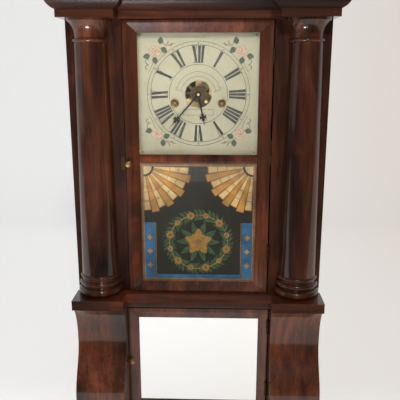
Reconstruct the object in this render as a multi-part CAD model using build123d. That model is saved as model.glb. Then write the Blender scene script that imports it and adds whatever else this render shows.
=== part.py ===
from build123d import *
import math
import os

os.makedirs("parts", exist_ok=True)

# Case box, in millimetres; the front plane is the face of the front stiles
case_width = 433.0
case_depth = 106.0
side_thickness = 16.0
stile_thickness = 16.0
backboard_thickness = 10.0
bottom_board_thickness = 14.0
top_board_thickness = 12.0
cover_board_thickness = 8.0
depth_share = (case_depth - backboard_thickness) / 96.0  # clear depth against that of the usual case

# Heights of the front, from the floor up
base_rail_height = 40.0
lower_door_height = 213.0
door_gap = 1.0
header_rail_height = 15.4
shelf_thickness = 17.6
dial_to_door_top = 118.7
frieze_height = 12.5
crown_height = 38.0

# Breakfront: end blocks of the shelf and frieze stand forward of the middle
shelf_width = 437.4
shelf_projection = 50.0
frieze_width = 440.0
frieze_projection = 44.0
center_projection = 14.0
block_inner_half = 129.4

# Cornice moulding
crown_flare = 28.0
crown_fillet = 6.0
crown_foot = 1.5

# Scroll pilasters: depth of the front edge before the stile plane, and its heights
pilaster_foot_depth = 50.0
pilaster_belly_depth = 63.0
pilaster_belly_height = 104.0
pilaster_waist_depth = 27.5
pilaster_waist_height = 206.0
pilaster_top_depth = 47.0

# Half-round columns
column_spacing = 351.4
column_bottom_radius = 33.0
column_top_radius = 27.5
column_base_height = 38.0
column_capital_height = 36.0
base_torus_bulge = 7.0
capital_top_radius = 37.5
neck_ring_bulge = 2.4

# Doors
door_thickness = 15.0
door_proud = 2.0
bevel_depth = 7.0
sight_lip = 1.2
rabbet_width = 5.0
glass_thickness = 2.0
glass_edge_gap = 1.0
upper_sight_half = 100.7
upper_bevel = 15.3
upper_side_margin = 6.5
upper_top_margin = 4.0
upper_bottom_margin = 0.7
mid_rail_height = 15.7
mid_rail_drop = 108.9
mid_rail_setback = 4.0
mid_rail_bevel = 4.5
lower_sight_half = 109.8
lower_bevel = 14.5
lower_side_margin = 2.3
lower_end_margin = 6.5
lock_side_gap = 1.2
mirror_thickness = 3.0
mirror_backing_thickness = 3.6

# Butt hinges and latches
hinge_gap = 2.4
knuckle_radius = 2.6
hinge_pin_radius = 1.2
running_clearance = 0.05
leaf_thickness = 0.8
leaf_length = 26.0
leaf_depth = 11.0
knuckle_standoff = 0.2
knuckle_side_gap = 0.3
upper_hinge_insets = (75.0, 56.7)
lower_hinge_heights = (95.0, 221.0)
knob_radius = 5.5
knob_length = 12.0
spindle_radius = 2.0
latch_length = 14.0
latch_width = 6.0
latch_hub_radius = 3.6
latch_thickness = 1.5
latch_clearance = 0.3
upper_knob_inset = 4.8
upper_knob_drop = 115.5
lower_knob_inset = 4.6
lower_knob_height = 150.5
catch_plate_width = 7.0
catch_plate_height = 23.0
catch_plate_thickness = 1.0

# Dial
dial_half_width = 112.0
dial_drop = 113.0
dial_rise = 111.0
dial_thickness = 1.5
dial_setback = 18.0 * depth_share
dial_center_height = 638.0
dial_center_hole = 22.8
winding_hole_radius = 5.8
batten_thickness = 6.0
batten_width = 15.0
batten_overlap = 7.0

# Movement plates, as distances behind the stile plane
front_plate_setback = 32.0 * depth_share
plate_thickness = 2.2
plate_spacing = 40.0 * depth_share - plate_thickness
plate_half_width = 84.0
plate_drop = 80.0
plate_rise = 84.0
plate_window_drop = 8.3
plate_window_rise = 66.0
plate_window_half = 66.0
center_strap_width = 10.0
side_strap_width = 8.0
pillar_radius = 4.0
pillar_inset = 9.0
seat_board_thickness = 12.0
seat_board_setback = 28.0 * depth_share
seat_board_depth = 48.0 * depth_share
seat_cleat = 10.0

# Going train and striking train; arbors are placed from the center of the dial
winding_spread = 40.1
winding_drop = 14.7
great_teeth = 80
great_pinion_pins = 10
center_teeth = 72
third_pins = 8
third_arbor = (22.0, 34.0)
third_teeth = 60
escape_pins = 7
escape_arbor_rise = 52.7
escape_teeth = 30
escape_radius = 13.5
pin_wheel_angle = 100.0
pin_wheel_teeth = 60
fly_pins = 8
fly_angle = 42.6
fly_distance = 27.2
lifting_pins = 8
lifting_pin_length = 3.0
lifting_pin_radius = 0.6
time_wheel_setback = 58.0 * depth_share
strike_wheel_setback = 53.0 * depth_share
center_wheel_setback = 63.0 * depth_share
third_wheel_setback = 51.5 * depth_share
escape_wheel_setback = 68.0 * depth_share
pin_wheel_setback = 66.5 * depth_share
fly_setback = 40.0 * depth_share
fly_vane_length = 10.0
fly_vane_half_width = 12.0
wheel_thickness = 1.6
pinion_reach = 1.5
arbor_radius = 2.0
pivot_radius = 1.0
end_shake = 0.3
winding_arbor_radius = 3.0
winding_square = 4.2
winding_square_gap = 0.5
drum_setback = 38.0 * depth_share
drum_radius = 15.0
drum_flange = 6.0
drum_flange_thickness = 1.5

# Motion work between the front plate and the dial
minute_module = 0.75
cannon_teeth = 12
minute_wheel_teeth = 36
hour_module = 0.72
hour_wheel_teeth = 40
hour_pinion_teeth = 10
motion_angle = -45.0
cannon_setback = 27.5 * depth_share
cannon_length = 3.5
minute_wheel_setback = 28.0 * depth_share
hour_wheel_setback = 24.0 * depth_share
stud_radius = 1.5
stud_setback = 22.0 * depth_share
cannon_pipe_radius = 2.8
hour_pipe_radius = 3.8
pipe_step = 0.6

# Pendulum, verge, hammer and gong
pendulum_pivot_rise = 73.0
pendulum_setback = 85.0 * depth_share
pendulum_rod_radius = 1.4
pendulum_eye_radius = 4.0
pendulum_eye_thickness = 2.4
suspension_pin_radius = 1.5
cock_thickness = 3.0
cock_half_width = 5.0
bob_radius = 30.0
bob_thickness = 13.0
bob_height = 176.0
rod_tail = 8.0
crutch_length = 56.0
crutch_setback = 76.0 * depth_share
crutch_width = 2.0
pallet_half_span = 11.6
pallet_drop = 10.8
hammer_offset = (14.0, -66.0)
hammer_setback = 50.0
hammer_head_radius = 5.0
hammer_head_length = 14.0
hammer_wire_radius = 1.0
hammer_slot_half = 24.0
hammer_gap = 1.4
gong_offset = (60.0, -158.0)
gong_outer_radius = 42.0
gong_pitch = 9.0
gong_turns = 4
gong_wire_radius = 1.6
gong_post_radius = 4.0
gong_block = 24.0
gong_block_depth = 12.0

# Hands
minute_hand_length = 78.0
minute_cross_radius = 56.0
hour_hand_length = 55.0
hour_cross_radius = 39.0
cross_arm = 6.5
hand_thickness = 0.8
minute_hand_setback = 10.0
hour_hand_setback = 13.0
minute_hand_angle = 221.4
hour_hand_angle = 168.45

# Weights, pulleys and cords
weight_width = 56.0
weight_depth = 42.0
weight_height = 200.0
weight_floor_gap = 6.0
hook_ring_radius = 6.0
hook_wire_radius = 1.6
chute_wall_half = 131.0
chute_wall_thickness = 3.0
chute_wall_setback = 26.5
chute_rise = 2.0
pulley_radius = 17.0
pulley_flange = 2.5
pulley_width = 8.0
pulley_groove_width = 3.4
pulley_lift = 6.0
pulley_axle_radius = 1.6
bearing_block_width = 12.0
bearing_block_thickness = 8.0
bearing_block_rise = 11.0
cord_radius = 1.2
cord_gap = 0.3
cord_plane_setback = 48.0

# Derived places
half_width = case_width / 2
front_y = -case_depth / 2
back_y = case_depth / 2
inner_half = half_width - side_thickness
backboard_front = back_y - backboard_thickness
lower_door_bottom = base_rail_height + door_gap
lower_door_top = lower_door_bottom + lower_door_height
header_bottom = lower_door_top + door_gap
shelf_bottom = header_bottom + header_rail_height
shelf_top = shelf_bottom + shelf_thickness
upper_door_bottom = shelf_top + door_gap
upper_door_top = dial_center_height + dial_to_door_top
frieze_bottom = upper_door_top + door_gap
frieze_top = frieze_bottom + frieze_height
crown_top = frieze_top + crown_height
upper_hinge_edge = upper_sight_half + upper_bevel + upper_side_margin
upper_stile_inner = upper_hinge_edge + hinge_gap
upper_lock_edge = upper_stile_inner - lock_side_gap
lower_hinge_edge = lower_sight_half + lower_bevel + lower_side_margin
lower_stile_inner = lower_hinge_edge + hinge_gap
lower_lock_edge = lower_stile_inner - lock_side_gap
upper_hinge_x = upper_hinge_edge + hinge_gap / 2
lower_hinge_x = block_inner_half - knuckle_radius - knuckle_side_gap
upper_sight_bottom = upper_door_bottom + upper_bottom_margin + upper_bevel
upper_sight_top = upper_door_top - upper_top_margin - upper_bevel
lower_sight_bottom = lower_door_bottom + lower_end_margin + lower_bevel
lower_sight_top = lower_door_top - lower_end_margin - lower_bevel
mid_rail_center = dial_center_height - mid_rail_drop
mid_rail_bottom = mid_rail_center - mid_rail_height / 2
mid_rail_top = mid_rail_center + mid_rail_height / 2
upper_knob_x = upper_knob_inset - upper_lock_edge
lower_knob_x = lower_knob_inset - lower_lock_edge
top_board_top = frieze_bottom + top_board_thickness
cover_board_bottom = crown_top - cover_board_thickness
winding_z = dial_center_height - winding_drop
winding_reach = math.hypot(winding_spread, winding_drop)
plate_inner = front_plate_setback + plate_thickness
back_plate_front = plate_inner + plate_spacing
back_plate_back = back_plate_front + plate_thickness
dial_back = dial_setback + dial_thickness
glass_front = bevel_depth - door_proud + sight_lip
door_back = door_thickness - door_proud
cord_reach = cord_radius + cord_gap
chute_outer = chute_wall_half + chute_wall_thickness
chute_center = (chute_outer + inner_half) / 2
pulley_x = chute_center - pulley_radius - cord_reach
pulley_z = top_board_top + pulley_lift
weight_bottom = bottom_board_thickness + weight_floor_gap
weight_top = weight_bottom + weight_height
hook_z = weight_top + hook_ring_radius
upper_knob_height = dial_center_height - upper_knob_drop
upper_hinge_heights = (upper_door_bottom + upper_hinge_insets[0], upper_door_top - upper_hinge_insets[1])
dial_bottom = dial_center_height - dial_drop
dial_top = dial_center_height + dial_rise
plate_bottom = dial_center_height - plate_drop
plate_top = dial_center_height + plate_rise
plate_window_bottom = dial_center_height - plate_window_drop
plate_window_top = dial_center_height + plate_window_rise
pendulum_pivot_height = dial_center_height + pendulum_pivot_rise
hammer_arbor = (hammer_offset[0], dial_center_height + hammer_offset[1])
gong_center = (gong_offset[0], dial_center_height + gong_offset[1])
chute_top = dial_center_height + chute_rise
center_at = (0.0, dial_center_height)
time_at = (winding_spread, winding_z)
strike_at = (-winding_spread, winding_z)
third_at = (third_arbor[0], dial_center_height + third_arbor[1])
escape_at = (0.0, dial_center_height + escape_arbor_rise)
verge_at = (0.0, pendulum_pivot_height)


def polar(center, radius, degrees):
    """Point at a distance and an angle from a center, in the plane of the dial."""
    angle = math.radians(degrees)
    return center[0] + radius * math.cos(angle), center[1] + radius * math.sin(angle)


def bearing(start, end):
    """Angle in degrees from one arbor to another."""
    return math.degrees(math.atan2(end[1] - start[1], end[0] - start[0]))


def spacing(start, end):
    """Distance between two arbors."""
    return math.hypot(end[0] - start[0], end[1] - start[1])


pin_wheel_at = polar(strike_at, winding_reach, pin_wheel_angle)
fly_at = polar(pin_wheel_at, fly_distance, fly_angle)
motion_distance = minute_module * (cannon_teeth + minute_wheel_teeth) / 2
minute_wheel_at = polar(center_at, motion_distance, motion_angle)


# Shared helpers
def block(x0, x1, y0, y1, z0, z1):
    """Rectangular solid between two opposite corners."""
    center = Pos((x0 + x1) / 2, (y0 + y1) / 2, (z0 + z1) / 2)
    return center * Box(abs(x1 - x0), abs(y1 - y0), abs(z1 - z0))


def back(distance):
    """Y of the plane that lies this far behind the stile plane."""
    return front_y + distance


def flip(shape):
    """The same shape on the other side of the clock."""
    return mirror(shape, about=Plane.YZ)


def facing(y):
    """Sketch plane seen from the front, at this Y; its normal points forward."""
    return Plane((0, y, 0), x_dir=(1, 0, 0), z_dir=(0, -1, 0))


def prism(points, d0, d1):
    """Polygon of (x, z) points carried from depth d0 to depth d1."""
    face = make_face(Polyline(*points, close=True))
    return extrude(facing(back(d1)) * face, d1 - d0)


def rod(at, d0, d1, radius):
    """Round bar along Y between two depths, at an (x, z) place."""
    return Pos(at[0], back((d0 + d1) / 2), at[1]) * Rot(90, 0, 0) * Cylinder(radius, d1 - d0)


def bar_between(start, end, radius):
    """Round bar between two points."""
    line = Line(start, end)
    return sweep(Plane(origin=start, z_dir=line % 0) * Circle(radius), path=line)


def save(name, *shapes):
    """Writes one node as a STEP file of its separate solids."""
    solids = [solid for shape in shapes for solid in shape.solids()]
    whole = solids[0] if len(solids) == 1 else Compound(solids)
    whole.label = name
    export_step(whole, "parts/" + name + ".step")


# Case boards
def case_side():
    """Right side board, from the floor to the top of the cornice."""
    return block(inner_half, half_width, back(stile_thickness), backboard_front, 0, crown_top)


def front_stile():
    """Right front stile in two lengths, one per stage; the lower one leaves room for the wider door."""
    d0, d1 = back(0), back(stile_thickness)
    upper = block(upper_stile_inner, half_width, d0, d1, shelf_bottom, frieze_bottom)
    lower = block(lower_stile_inner, half_width, d0, d1, 0, shelf_bottom)
    return lower, upper


def header_rails():
    """Rail over the lower door, and the board behind frieze and cornice."""
    d0, d1 = back(0), back(stile_thickness)
    lower = block(-lower_stile_inner, lower_stile_inner, d0, d1, header_bottom, shelf_bottom)
    upper = block(-half_width, half_width, d0, d1, frieze_bottom, crown_top)
    return lower, upper


def column_shelf():
    """Shelf between the stages: forward blocks under the columns and a tongue between the stiles."""
    half = shelf_width / 2
    end = block(block_inner_half, half, back(-shelf_projection), back(0), shelf_bottom, shelf_top)
    inner = block_inner_half
    middle = block(-inner, inner, back(-center_projection), back(0), shelf_bottom, shelf_top)
    reach = upper_stile_inner
    tongue = block(-reach, reach, back(0), back(stile_thickness), shelf_bottom, shelf_top)
    return middle + end + flip(end) + tongue


def frieze():
    """Frieze with forward blocks over the columns and a thin return along each side."""
    half = frieze_width / 2
    inner = block_inner_half
    end = block(inner, half, back(-frieze_projection), back(0), frieze_bottom, frieze_top)
    middle = block(-inner, inner, back(-center_projection), back(0), frieze_bottom, frieze_top)
    side = block(half_width, half, back(0), back_y, frieze_bottom, frieze_top)
    return middle + end + flip(end) + side + flip(side)


def crown_profile(edge, side):
    """Points of the cornice's S-curve at one edge, from its foot up to its top."""
    rise = crown_height - crown_fillet
    foot = (edge + side * crown_foot, 0)
    low_bend = (edge + side * (crown_foot + crown_flare * 0.27), rise * 0.2)
    middle = (edge + side * (crown_foot + crown_flare * 0.42), rise * 0.46)
    high_bend = (edge + side * crown_flare * 0.62, rise * 0.8)
    top = (edge + side * crown_flare * 0.93, rise)
    return foot, low_bend, middle, high_bend, top


def coved_block(x0, x1, d0):
    """Block that widens upwards along the cornice profile at its front and its two ends."""
    rise = crown_height - crown_fillet
    left = crown_profile(x0, -1)
    right = crown_profile(x1, 1)
    far_left, far_right = x0 - crown_flare, x1 + crown_flare
    across = Line(left[0], right[0]) + ThreePointArc(*right[0:3]) + ThreePointArc(*right[2:5])
    across += Polyline(right[4], (far_right, rise), (far_right, crown_height), (far_left, crown_height))
    across += Polyline((far_left, crown_height), (far_left, rise), left[4])
    across += ThreePointArc(left[4], left[3], left[2])
    across += ThreePointArc(left[2], left[1], left[0])
    front = crown_profile(back(d0), -1)
    far_front = back(d0) - crown_flare
    along = Polyline(front[0], (back_y, 0), (back_y, crown_height), (far_front, crown_height))
    along += Polyline((far_front, crown_height), (far_front, rise), front[4])
    along += ThreePointArc(front[4], front[3], front[2])
    along += ThreePointArc(front[2], front[1], front[0])
    reach = case_depth + shelf_projection + frieze_projection + 2 * crown_flare
    wide = extrude(facing(back_y) * make_face(across), reach)
    side_plane = Plane((x0 - 2 * crown_flare, 0, 0), x_dir=(0, 1, 0), z_dir=(1, 0, 0))
    deep = extrude(side_plane * make_face(along), x1 - x0 + 4 * crown_flare)
    return Pos(0, 0, frieze_top) * (wide & deep)


def cornice_crown():
    """Cornice moulding round the front and both sides, broken forward over the columns."""
    frieze_half = frieze_width / 2
    middle = coved_block(-frieze_half, frieze_half, -center_projection)
    end = coved_block(block_inner_half, frieze_half, -frieze_projection)
    inside = block(-half_width, half_width, back(0), back_y + 1, frieze_top - 1, crown_top + 1)
    return middle + end + flip(end) - inside


def scroll_pilaster():
    """Right scroll pilaster: an S-curved front edge carried across the width of the block."""
    foot = (back(-pilaster_foot_depth), 0)
    foot_top = (back(-pilaster_foot_depth), pilaster_belly_height * 0.14)
    belly = (back(-pilaster_belly_depth), pilaster_belly_height)
    waist = (back(-pilaster_waist_depth), pilaster_waist_height)
    top = (back(-pilaster_top_depth), shelf_bottom)
    up = (0, 1)
    edge = Polyline(top, (back(0), shelf_bottom), (back(0), 0), foot, foot_top)
    edge += Spline(foot_top, belly, tangents=((-0.35, 1), up))
    edge += Spline(belly, waist, tangents=(up, up))
    edge += Spline(waist, top, tangents=(up, (-1, 0.9)))
    plane = Plane((block_inner_half, 0, 0), x_dir=(0, 1, 0), z_dir=(1, 0, 0))
    return extrude(plane * make_face(edge), half_width - block_inner_half)


# Half-round columns
def turned(profile):
    """Front half of a turning, from a closed outline of (radius, height), on the right column's axis."""
    whole = revolve(Plane.XZ * make_face(profile), axis=Axis.Z)
    rear = block(-case_depth, case_depth, 0, 2 * case_depth, -1, crown_top)
    return Pos(column_spacing / 2, front_y, 0) * (whole - rear)


def column_shaft():
    """Tapered shaft between base and capital."""
    low = shelf_top + column_base_height
    high = frieze_bottom - column_capital_height
    slope = [(column_bottom_radius, low), (column_top_radius, high)]
    return turned(Polyline((0, low), *slope, (0, high), close=True))


def bead(radius, bulge, z0, z1):
    """Arc that swells out from a radius, or hollows in where the bulge is negative."""
    return ThreePointArc((radius, z0), (radius + bulge, (z0 + z1) / 2), (radius, z1))


def column_base():
    """Turned base: a broad torus, a smaller torus and a ring, with hollows between."""
    r = column_bottom_radius
    z = shelf_top
    h = column_base_height
    bulge = base_torus_bulge
    steps = [(bulge, 0, 0.38), (-1.0, 0.38, 0.46), (0.6 * bulge, 0.46, 0.7)]
    steps += [(-1.2, 0.7, 0.82), (0.36 * bulge, 0.82, 1)]
    line = Line((0, z), (r, z))
    for swell, low, high in steps:
        line += bead(r, swell, z + low * h, z + high * h)
    line += Polyline((r, z + h), (0, z + h), (0, z))
    return turned(line)


def column_capital():
    """Turned capital: a neck ring, a straight neck and a hollow flare up to a lip."""
    r = column_top_radius
    z = frieze_bottom - column_capital_height
    ring = z + 6.0
    lip = frieze_bottom - 3.0
    neck = r - 1.0
    edge = capital_top_radius - 1.0
    line = Line((0, z), (r, z)) + bead(r, neck_ring_bulge, z, ring)
    line += Polyline((r, ring), (neck, ring), (neck, ring + 4.0))
    bend = (neck + 0.26 * (edge - neck), ring + 0.62 * (lip - ring))
    line += ThreePointArc((neck, ring + 4.0), bend, (edge, lip))
    line += Polyline((edge, lip), (capital_top_radius, lip), (capital_top_radius, frieze_bottom))
    line += Polyline((capital_top_radius, frieze_bottom), (0, frieze_bottom), (0, z))
    return turned(line)


# Doors
def sight_frustum(half, z0, z1, bevel):
    """Space that the sloping inner edge of a door frame leaves, from its face down to the sight line."""
    middle = Pos(0, (z0 + z1) / 2)
    outer = facing(back(-door_proud)) * middle * Rectangle(2 * (half + bevel), z1 - z0 + 2 * bevel)
    inner = facing(back(bevel_depth - door_proud)) * middle * Rectangle(2 * half, z1 - z0)
    return loft(Sketch() + [outer, inner], ruled=True)


def frame_members(frame, left, right, bottom, top, half, s0, s1, bevel):
    """Cuts a door frame into two stiles and two rails along its mitres."""
    corners = {}
    for name, x, z in (("lt", -1, 1), ("rt", 1, 1), ("lb", -1, -1), ("rb", 1, -1)):
        edge_x = right if x > 0 else left
        edge_z = top if z > 0 else bottom
        sight_z = s1 if z > 0 else s0
        corners[name] = [(edge_x, edge_z), (x * (half + bevel), sight_z + z * bevel), (x * half, sight_z)]
    sides = (("lt", "rt"), ("rt", "rb"), ("rb", "lb"), ("lb", "lt"))
    return [frame & prism(corners[a] + corners[b][::-1], -door_proud - 1, door_back + 1) for a, b in sides]


def door_frame(left, right, bottom, top, half, s0, s1, bevel):
    """Whole door frame with its sloping inner edge and the rabbet for the glass."""
    front, rear = back(-door_proud), back(door_back)
    frame = block(left, right, front, rear, bottom, top)
    frame -= sight_frustum(half, s0, s1, bevel)
    frame -= block(-half, half, front, rear, s0, s1)
    wide = half + rabbet_width
    return frame - block(-wide, wide, back(glass_front), rear, s0 - rabbet_width, s1 + rabbet_width)


def spindle_hole(x, z):
    """Hole for a knob's spindle, right through a door stile."""
    return rod((x, z), -door_proud - 1, door_back + 1, spindle_radius + running_clearance)


def upper_door_frame():
    """Upper door: two stiles, top and bottom rail on mitres, and the bar between dial and tablet."""
    edges = (-upper_lock_edge, upper_hinge_edge, upper_door_bottom, upper_door_top)
    sight = (upper_sight_half, upper_sight_bottom, upper_sight_top, upper_bevel)
    frame = door_frame(*edges, *sight) - spindle_hole(upper_knob_x, upper_knob_height)
    members = frame_members(frame, *edges, *sight)
    half = upper_sight_half
    face = mid_rail_setback - door_proud
    low, high = mid_rail_bottom, mid_rail_top
    slope = [(back(face), low + mid_rail_bevel), (back(face), high - mid_rail_bevel)]
    slope += [(back(glass_front), high), (back(glass_front), low)]
    plane = Plane((-half, 0, 0), x_dir=(0, 1, 0), z_dir=(1, 0, 0))
    bar = extrude(plane * make_face(Polyline(*slope, close=True)), 2 * half)
    rear = (back(glass_front), back(door_back))
    bar += block(-half, half, *rear, low + rabbet_width, high - rabbet_width)
    return members + [bar]


def lower_door_frame():
    """Lower door: two stiles and two rails on mitres."""
    edges = (-lower_lock_edge, lower_hinge_edge, lower_door_bottom, lower_door_top)
    sight = (lower_sight_half, lower_sight_bottom, lower_sight_top, lower_bevel)
    frame = door_frame(*edges, *sight) - spindle_hole(lower_knob_x, lower_knob_height)
    return frame_members(frame, *edges, *sight)


def pane(half, z0, z1, thickness, d0):
    """Sheet held in the rabbet all round, with a little room at its edges."""
    grip = rabbet_width - glass_edge_gap
    return block(-half - grip, half + grip, back(d0), back(d0 + thickness), z0 - grip, z1 + grip)


def knob(x, z):
    """Turned knob, its spindle through the door, and a latch tongue that hangs down behind the stile."""
    r = knob_radius
    length = knob_length
    neck = r * 0.4
    line = Polyline((0, 0.2), (r * 0.75, 0.2), (r * 0.75, 1.2), (neck, 2.0), (neck, length * 0.45))
    ends = ((1, 0.35), (-1, 0))
    line += Spline((neck, length * 0.45), (r, length * 0.72), (0, length), tangents=ends)
    line += Line((0, length), (0, 0.2))
    head = revolve(Plane.XY * make_face(line), axis=Axis.Y)
    head = Pos(x, back(-door_proud), z) * Rot(180, 0, 0) * head
    latch_front = stile_thickness + latch_clearance
    latch_back = latch_front + latch_thickness
    spindle = rod((x, z), -door_proud - 1, latch_back, spindle_radius)
    half = latch_width / 2
    tongue = block(x - half, x + half, back(latch_front), back(latch_back), z - latch_length, z)
    return spindle + tongue + rod((x, z), latch_front, latch_back, latch_hub_radius) + head


def hinge(edge, x, height):
    """Butt hinge at the right edge of a door: the door's leaf, and the case's leaf with the pin at x."""
    case_edge = edge + hinge_gap
    d = -door_proud - knuckle_radius - knuckle_standoff
    low, high = height - leaf_length / 2, height + leaf_length / 2
    third = leaf_length / 3
    inner_low, inner_high = low + third + end_shake, high - third - end_shake

    def knuckle(z0, z1, radius):
        return Pos(x, back(d), (z0 + z1) / 2) * Cylinder(radius, z1 - z0)

    door = block(edge, edge + leaf_thickness, back(-door_proud), back(leaf_depth), low, high)
    door += block(edge, edge + leaf_thickness, back(d), back(0), inner_low, inner_high)
    door += knuckle(inner_low, inner_high, knuckle_radius)
    door -= knuckle(low, high, hinge_pin_radius + running_clearance)
    case = block(case_edge - leaf_thickness, case_edge, back(0), back(leaf_depth), low, high)
    for z0, z1 in ((low, low + third), (high - third, high)):
        case += block(case_edge - leaf_thickness, case_edge, back(d), back(0), z0, z1)
        case += knuckle(z0, z1, knuckle_radius)
    return door, case + knuckle(low, high, hinge_pin_radius)


def catch_plate():
    """Small plate on the case's left stile, beside the upper knob."""
    low, high = upper_knob_height - catch_plate_height / 2, upper_knob_height + catch_plate_height / 2
    outer = -upper_stile_inner - catch_plate_width
    return block(outer, -upper_stile_inner, back(-catch_plate_thickness), back(0), low, high)


# Boards and walls inside the case
def top_board():
    """Top board with a slot for each pulley, and the blocks that carry the pulley axles."""
    z0, z1 = frieze_bottom, top_board_top
    board = block(-inner_half, inner_half, back(stile_thickness), backboard_front, z0, z1)
    slot_half = pulley_width / 2 + 1.0
    y = back(cord_plane_setback)
    reach = pulley_radius + pulley_flange
    slot = block(pulley_x - 2 * reach, pulley_x + reach + 3, y - slot_half, y + slot_half, z0, z1)
    blocks = []
    for side in (-1, 1):
        y0 = y + side * slot_half
        y1 = y0 + side * bearing_block_thickness
        half = bearing_block_width / 2
        bearer = block(pulley_x - half, pulley_x + half, y0, y1, z1, z1 + bearing_block_rise)
        hole = Cylinder(pulley_axle_radius + running_clearance, bearing_block_thickness)
        blocks.append(bearer - Pos(pulley_x, (y0 + y1) / 2, pulley_z) * Rot(90, 0, 0) * hole)
    return [board - slot - flip(slot)] + blocks + [flip(piece) for piece in blocks]


def weight_chutes():
    """Thin walls that part the weights from the middle of the case, and the cleats for the seat board."""
    y0 = back(chute_wall_setback)
    wall = block(chute_wall_half, chute_outer, y0, backboard_front, bottom_board_thickness, chute_top)
    seat_bottom = plate_bottom - seat_board_thickness
    d0, d1 = back(seat_board_setback), back(seat_board_setback + seat_board_depth)
    half = chute_wall_half
    cleat = block(half - seat_cleat, half, d0, d1, seat_bottom - seat_cleat, seat_bottom)
    return wall, flip(wall), cleat, flip(cleat)


def seat_board():
    """Board that the movement stands on, with a slot for the hammer wire."""
    y0, y1 = back(seat_board_setback), back(seat_board_setback + seat_board_depth)
    z0 = plate_bottom - seat_board_thickness
    board = block(-chute_wall_half, chute_wall_half, y0, y1, z0, plate_bottom)
    half = hammer_slot_half
    s0, s1 = back(hammer_setback - 6), back(hammer_setback + 6)
    return board - block(-half, half, s0, s1, z0, plate_bottom)


def dial_board():
    """Dial plate with its center hole and two winding holes."""
    half = dial_half_width
    plate = block(-half, half, back(dial_setback), back(dial_back), dial_bottom, dial_top)
    plate -= rod(center_at, dial_setback - 1, dial_back + 1, dial_center_hole)
    for at in (time_at, strike_at):
        plate -= rod(at, dial_setback - 1, dial_back + 1, winding_hole_radius)
    return plate


def dial_battens():
    """Two battens across the case that the dial plate is fixed to."""
    low = dial_bottom + batten_overlap
    high = dial_top - batten_overlap
    y0, y1 = back(dial_back), back(dial_back + batten_thickness)
    lower = block(-inner_half, inner_half, y0, y1, low - batten_width, low)
    return lower, block(-inner_half, inner_half, y0, y1, high, high + batten_width)


# Wheels and pinions
def toothed(at, radius, module, teeth, phase, d0, thickness):
    """Toothed disc: trapezoid teeth about a pitch circle; a tooth stands at the phase angle."""
    pitch = 360 / teeth
    root, tip = radius - 1.1 * module, radius + 0.85 * module
    shape = ((root, -0.27), (radius, -0.2), (tip, -0.08), (tip, 0.08), (radius, 0.2), (root, 0.27))
    points = [polar(at, r, phase + (i + share) * pitch) for i in range(teeth) for r, share in shape]
    return prism(points + [points[0]], d0, d0 + thickness)


def spoked(disc, at, radius, hub_radius, d0, thickness, spokes=4):
    """Cuts the spaces between the spokes of a wheel."""
    inner, outer = hub_radius, radius - 3.0 * wheel_thickness
    ring = rod(at, d0 - 1, d0 + thickness + 1, outer) - rod(at, d0 - 1, d0 + thickness + 1, inner)
    y0, y1 = back(d0 - 2), back(d0 + thickness + 2)
    spoke = block(-radius, radius, y0, y1, -wheel_thickness, wheel_thickness)
    for i in range(spokes // 2):
        ring -= Pos(at[0], 0, at[1]) * Rot(0, 360 / spokes * i, 0) * spoke
    return disc - ring


def lantern(at, radius, pin_radius, pins, phase, d0, d1):
    """Lantern pinion: round pins between two collars; a pin stands at the phase angle."""
    collar = radius + pin_radius + 0.5
    shape = rod(at, d0, d0 + 0.8, collar) + rod(at, d1 - 0.8, d1, collar)
    for i in range(pins):
        shape += rod(polar(at, radius, phase + 360 / pins * i), d0, d1, pin_radius)
    return shape


def arbor(at, d0, d1, radius=arbor_radius):
    """Arbor between the plates, with a thinner pivot in each plate."""
    shape = rod(at, d0 + end_shake, d1 - end_shake, radius)
    return shape + rod(at, d0 - plate_thickness, d1 + plate_thickness, pivot_radius)


great_module = 2 * winding_reach / (great_teeth + great_pinion_pins)
great_radius = great_module * great_teeth / 2
third_module = 2 * spacing(center_at, third_at) / (center_teeth + third_pins)
escape_module = 2 * spacing(third_at, escape_at) / (third_teeth + escape_pins)
fly_module = 2 * fly_distance / (pin_wheel_teeth + fly_pins)


def mesh_phase(start, end, teeth):
    """Phase that puts the middle of a tooth gap on the line to the next arbor."""
    return bearing(start, end) + 180 / teeth


def driving_wheel(at, module, teeth, towards, d0, hub=5.0):
    """Spoked wheel whose tooth gap faces the pinion that it drives."""
    radius = module * teeth / 2
    disc = toothed(at, radius, module, teeth, mesh_phase(at, towards, teeth), d0, wheel_thickness)
    return spoked(disc, at, radius, hub, d0, wheel_thickness)


def driven_pinion(at, module, pins, driver, d0, d1):
    """Lantern pinion with a pin in the driver's tooth gap."""
    return lantern(at, module * pins / 2, 0.5 * module, pins, bearing(at, driver), d0, d1)


def around(wheel_setback):
    """Depths of a pinion that reaches a little past the wheel that drives it."""
    return wheel_setback - pinion_reach, wheel_setback + wheel_thickness + pinion_reach


def great_wheel(at, towards, d0):
    """Great wheel, free to turn on its winding arbor."""
    wheel = driving_wheel(at, great_module, great_teeth, towards, d0, hub=8.0)
    return wheel - rod(at, d0 - 1, d0 + wheel_thickness + 1, winding_arbor_radius + running_clearance)


def winding_drum(at, wheel_setback):
    """Cord drum on its winding arbor, with a square end for the key."""
    end = wheel_setback - end_shake
    outer = drum_radius + drum_flange
    drum = rod(at, drum_setback, end, drum_radius)
    drum += rod(at, drum_setback, drum_setback + drum_flange_thickness, outer)
    drum += rod(at, end - drum_flange_thickness, end, outer)
    drum += rod(at, front_plate_setback, back_plate_front - end_shake, winding_arbor_radius)
    drum += rod(at, back_plate_front - 1, back_plate_back, pivot_radius)
    half = winding_square / 2
    y0, y1 = back(dial_back + winding_square_gap), back(front_plate_setback)
    return drum + block(at[0] - half, at[0] + half, y0, y1, at[1] - half, at[1] + half)


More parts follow.
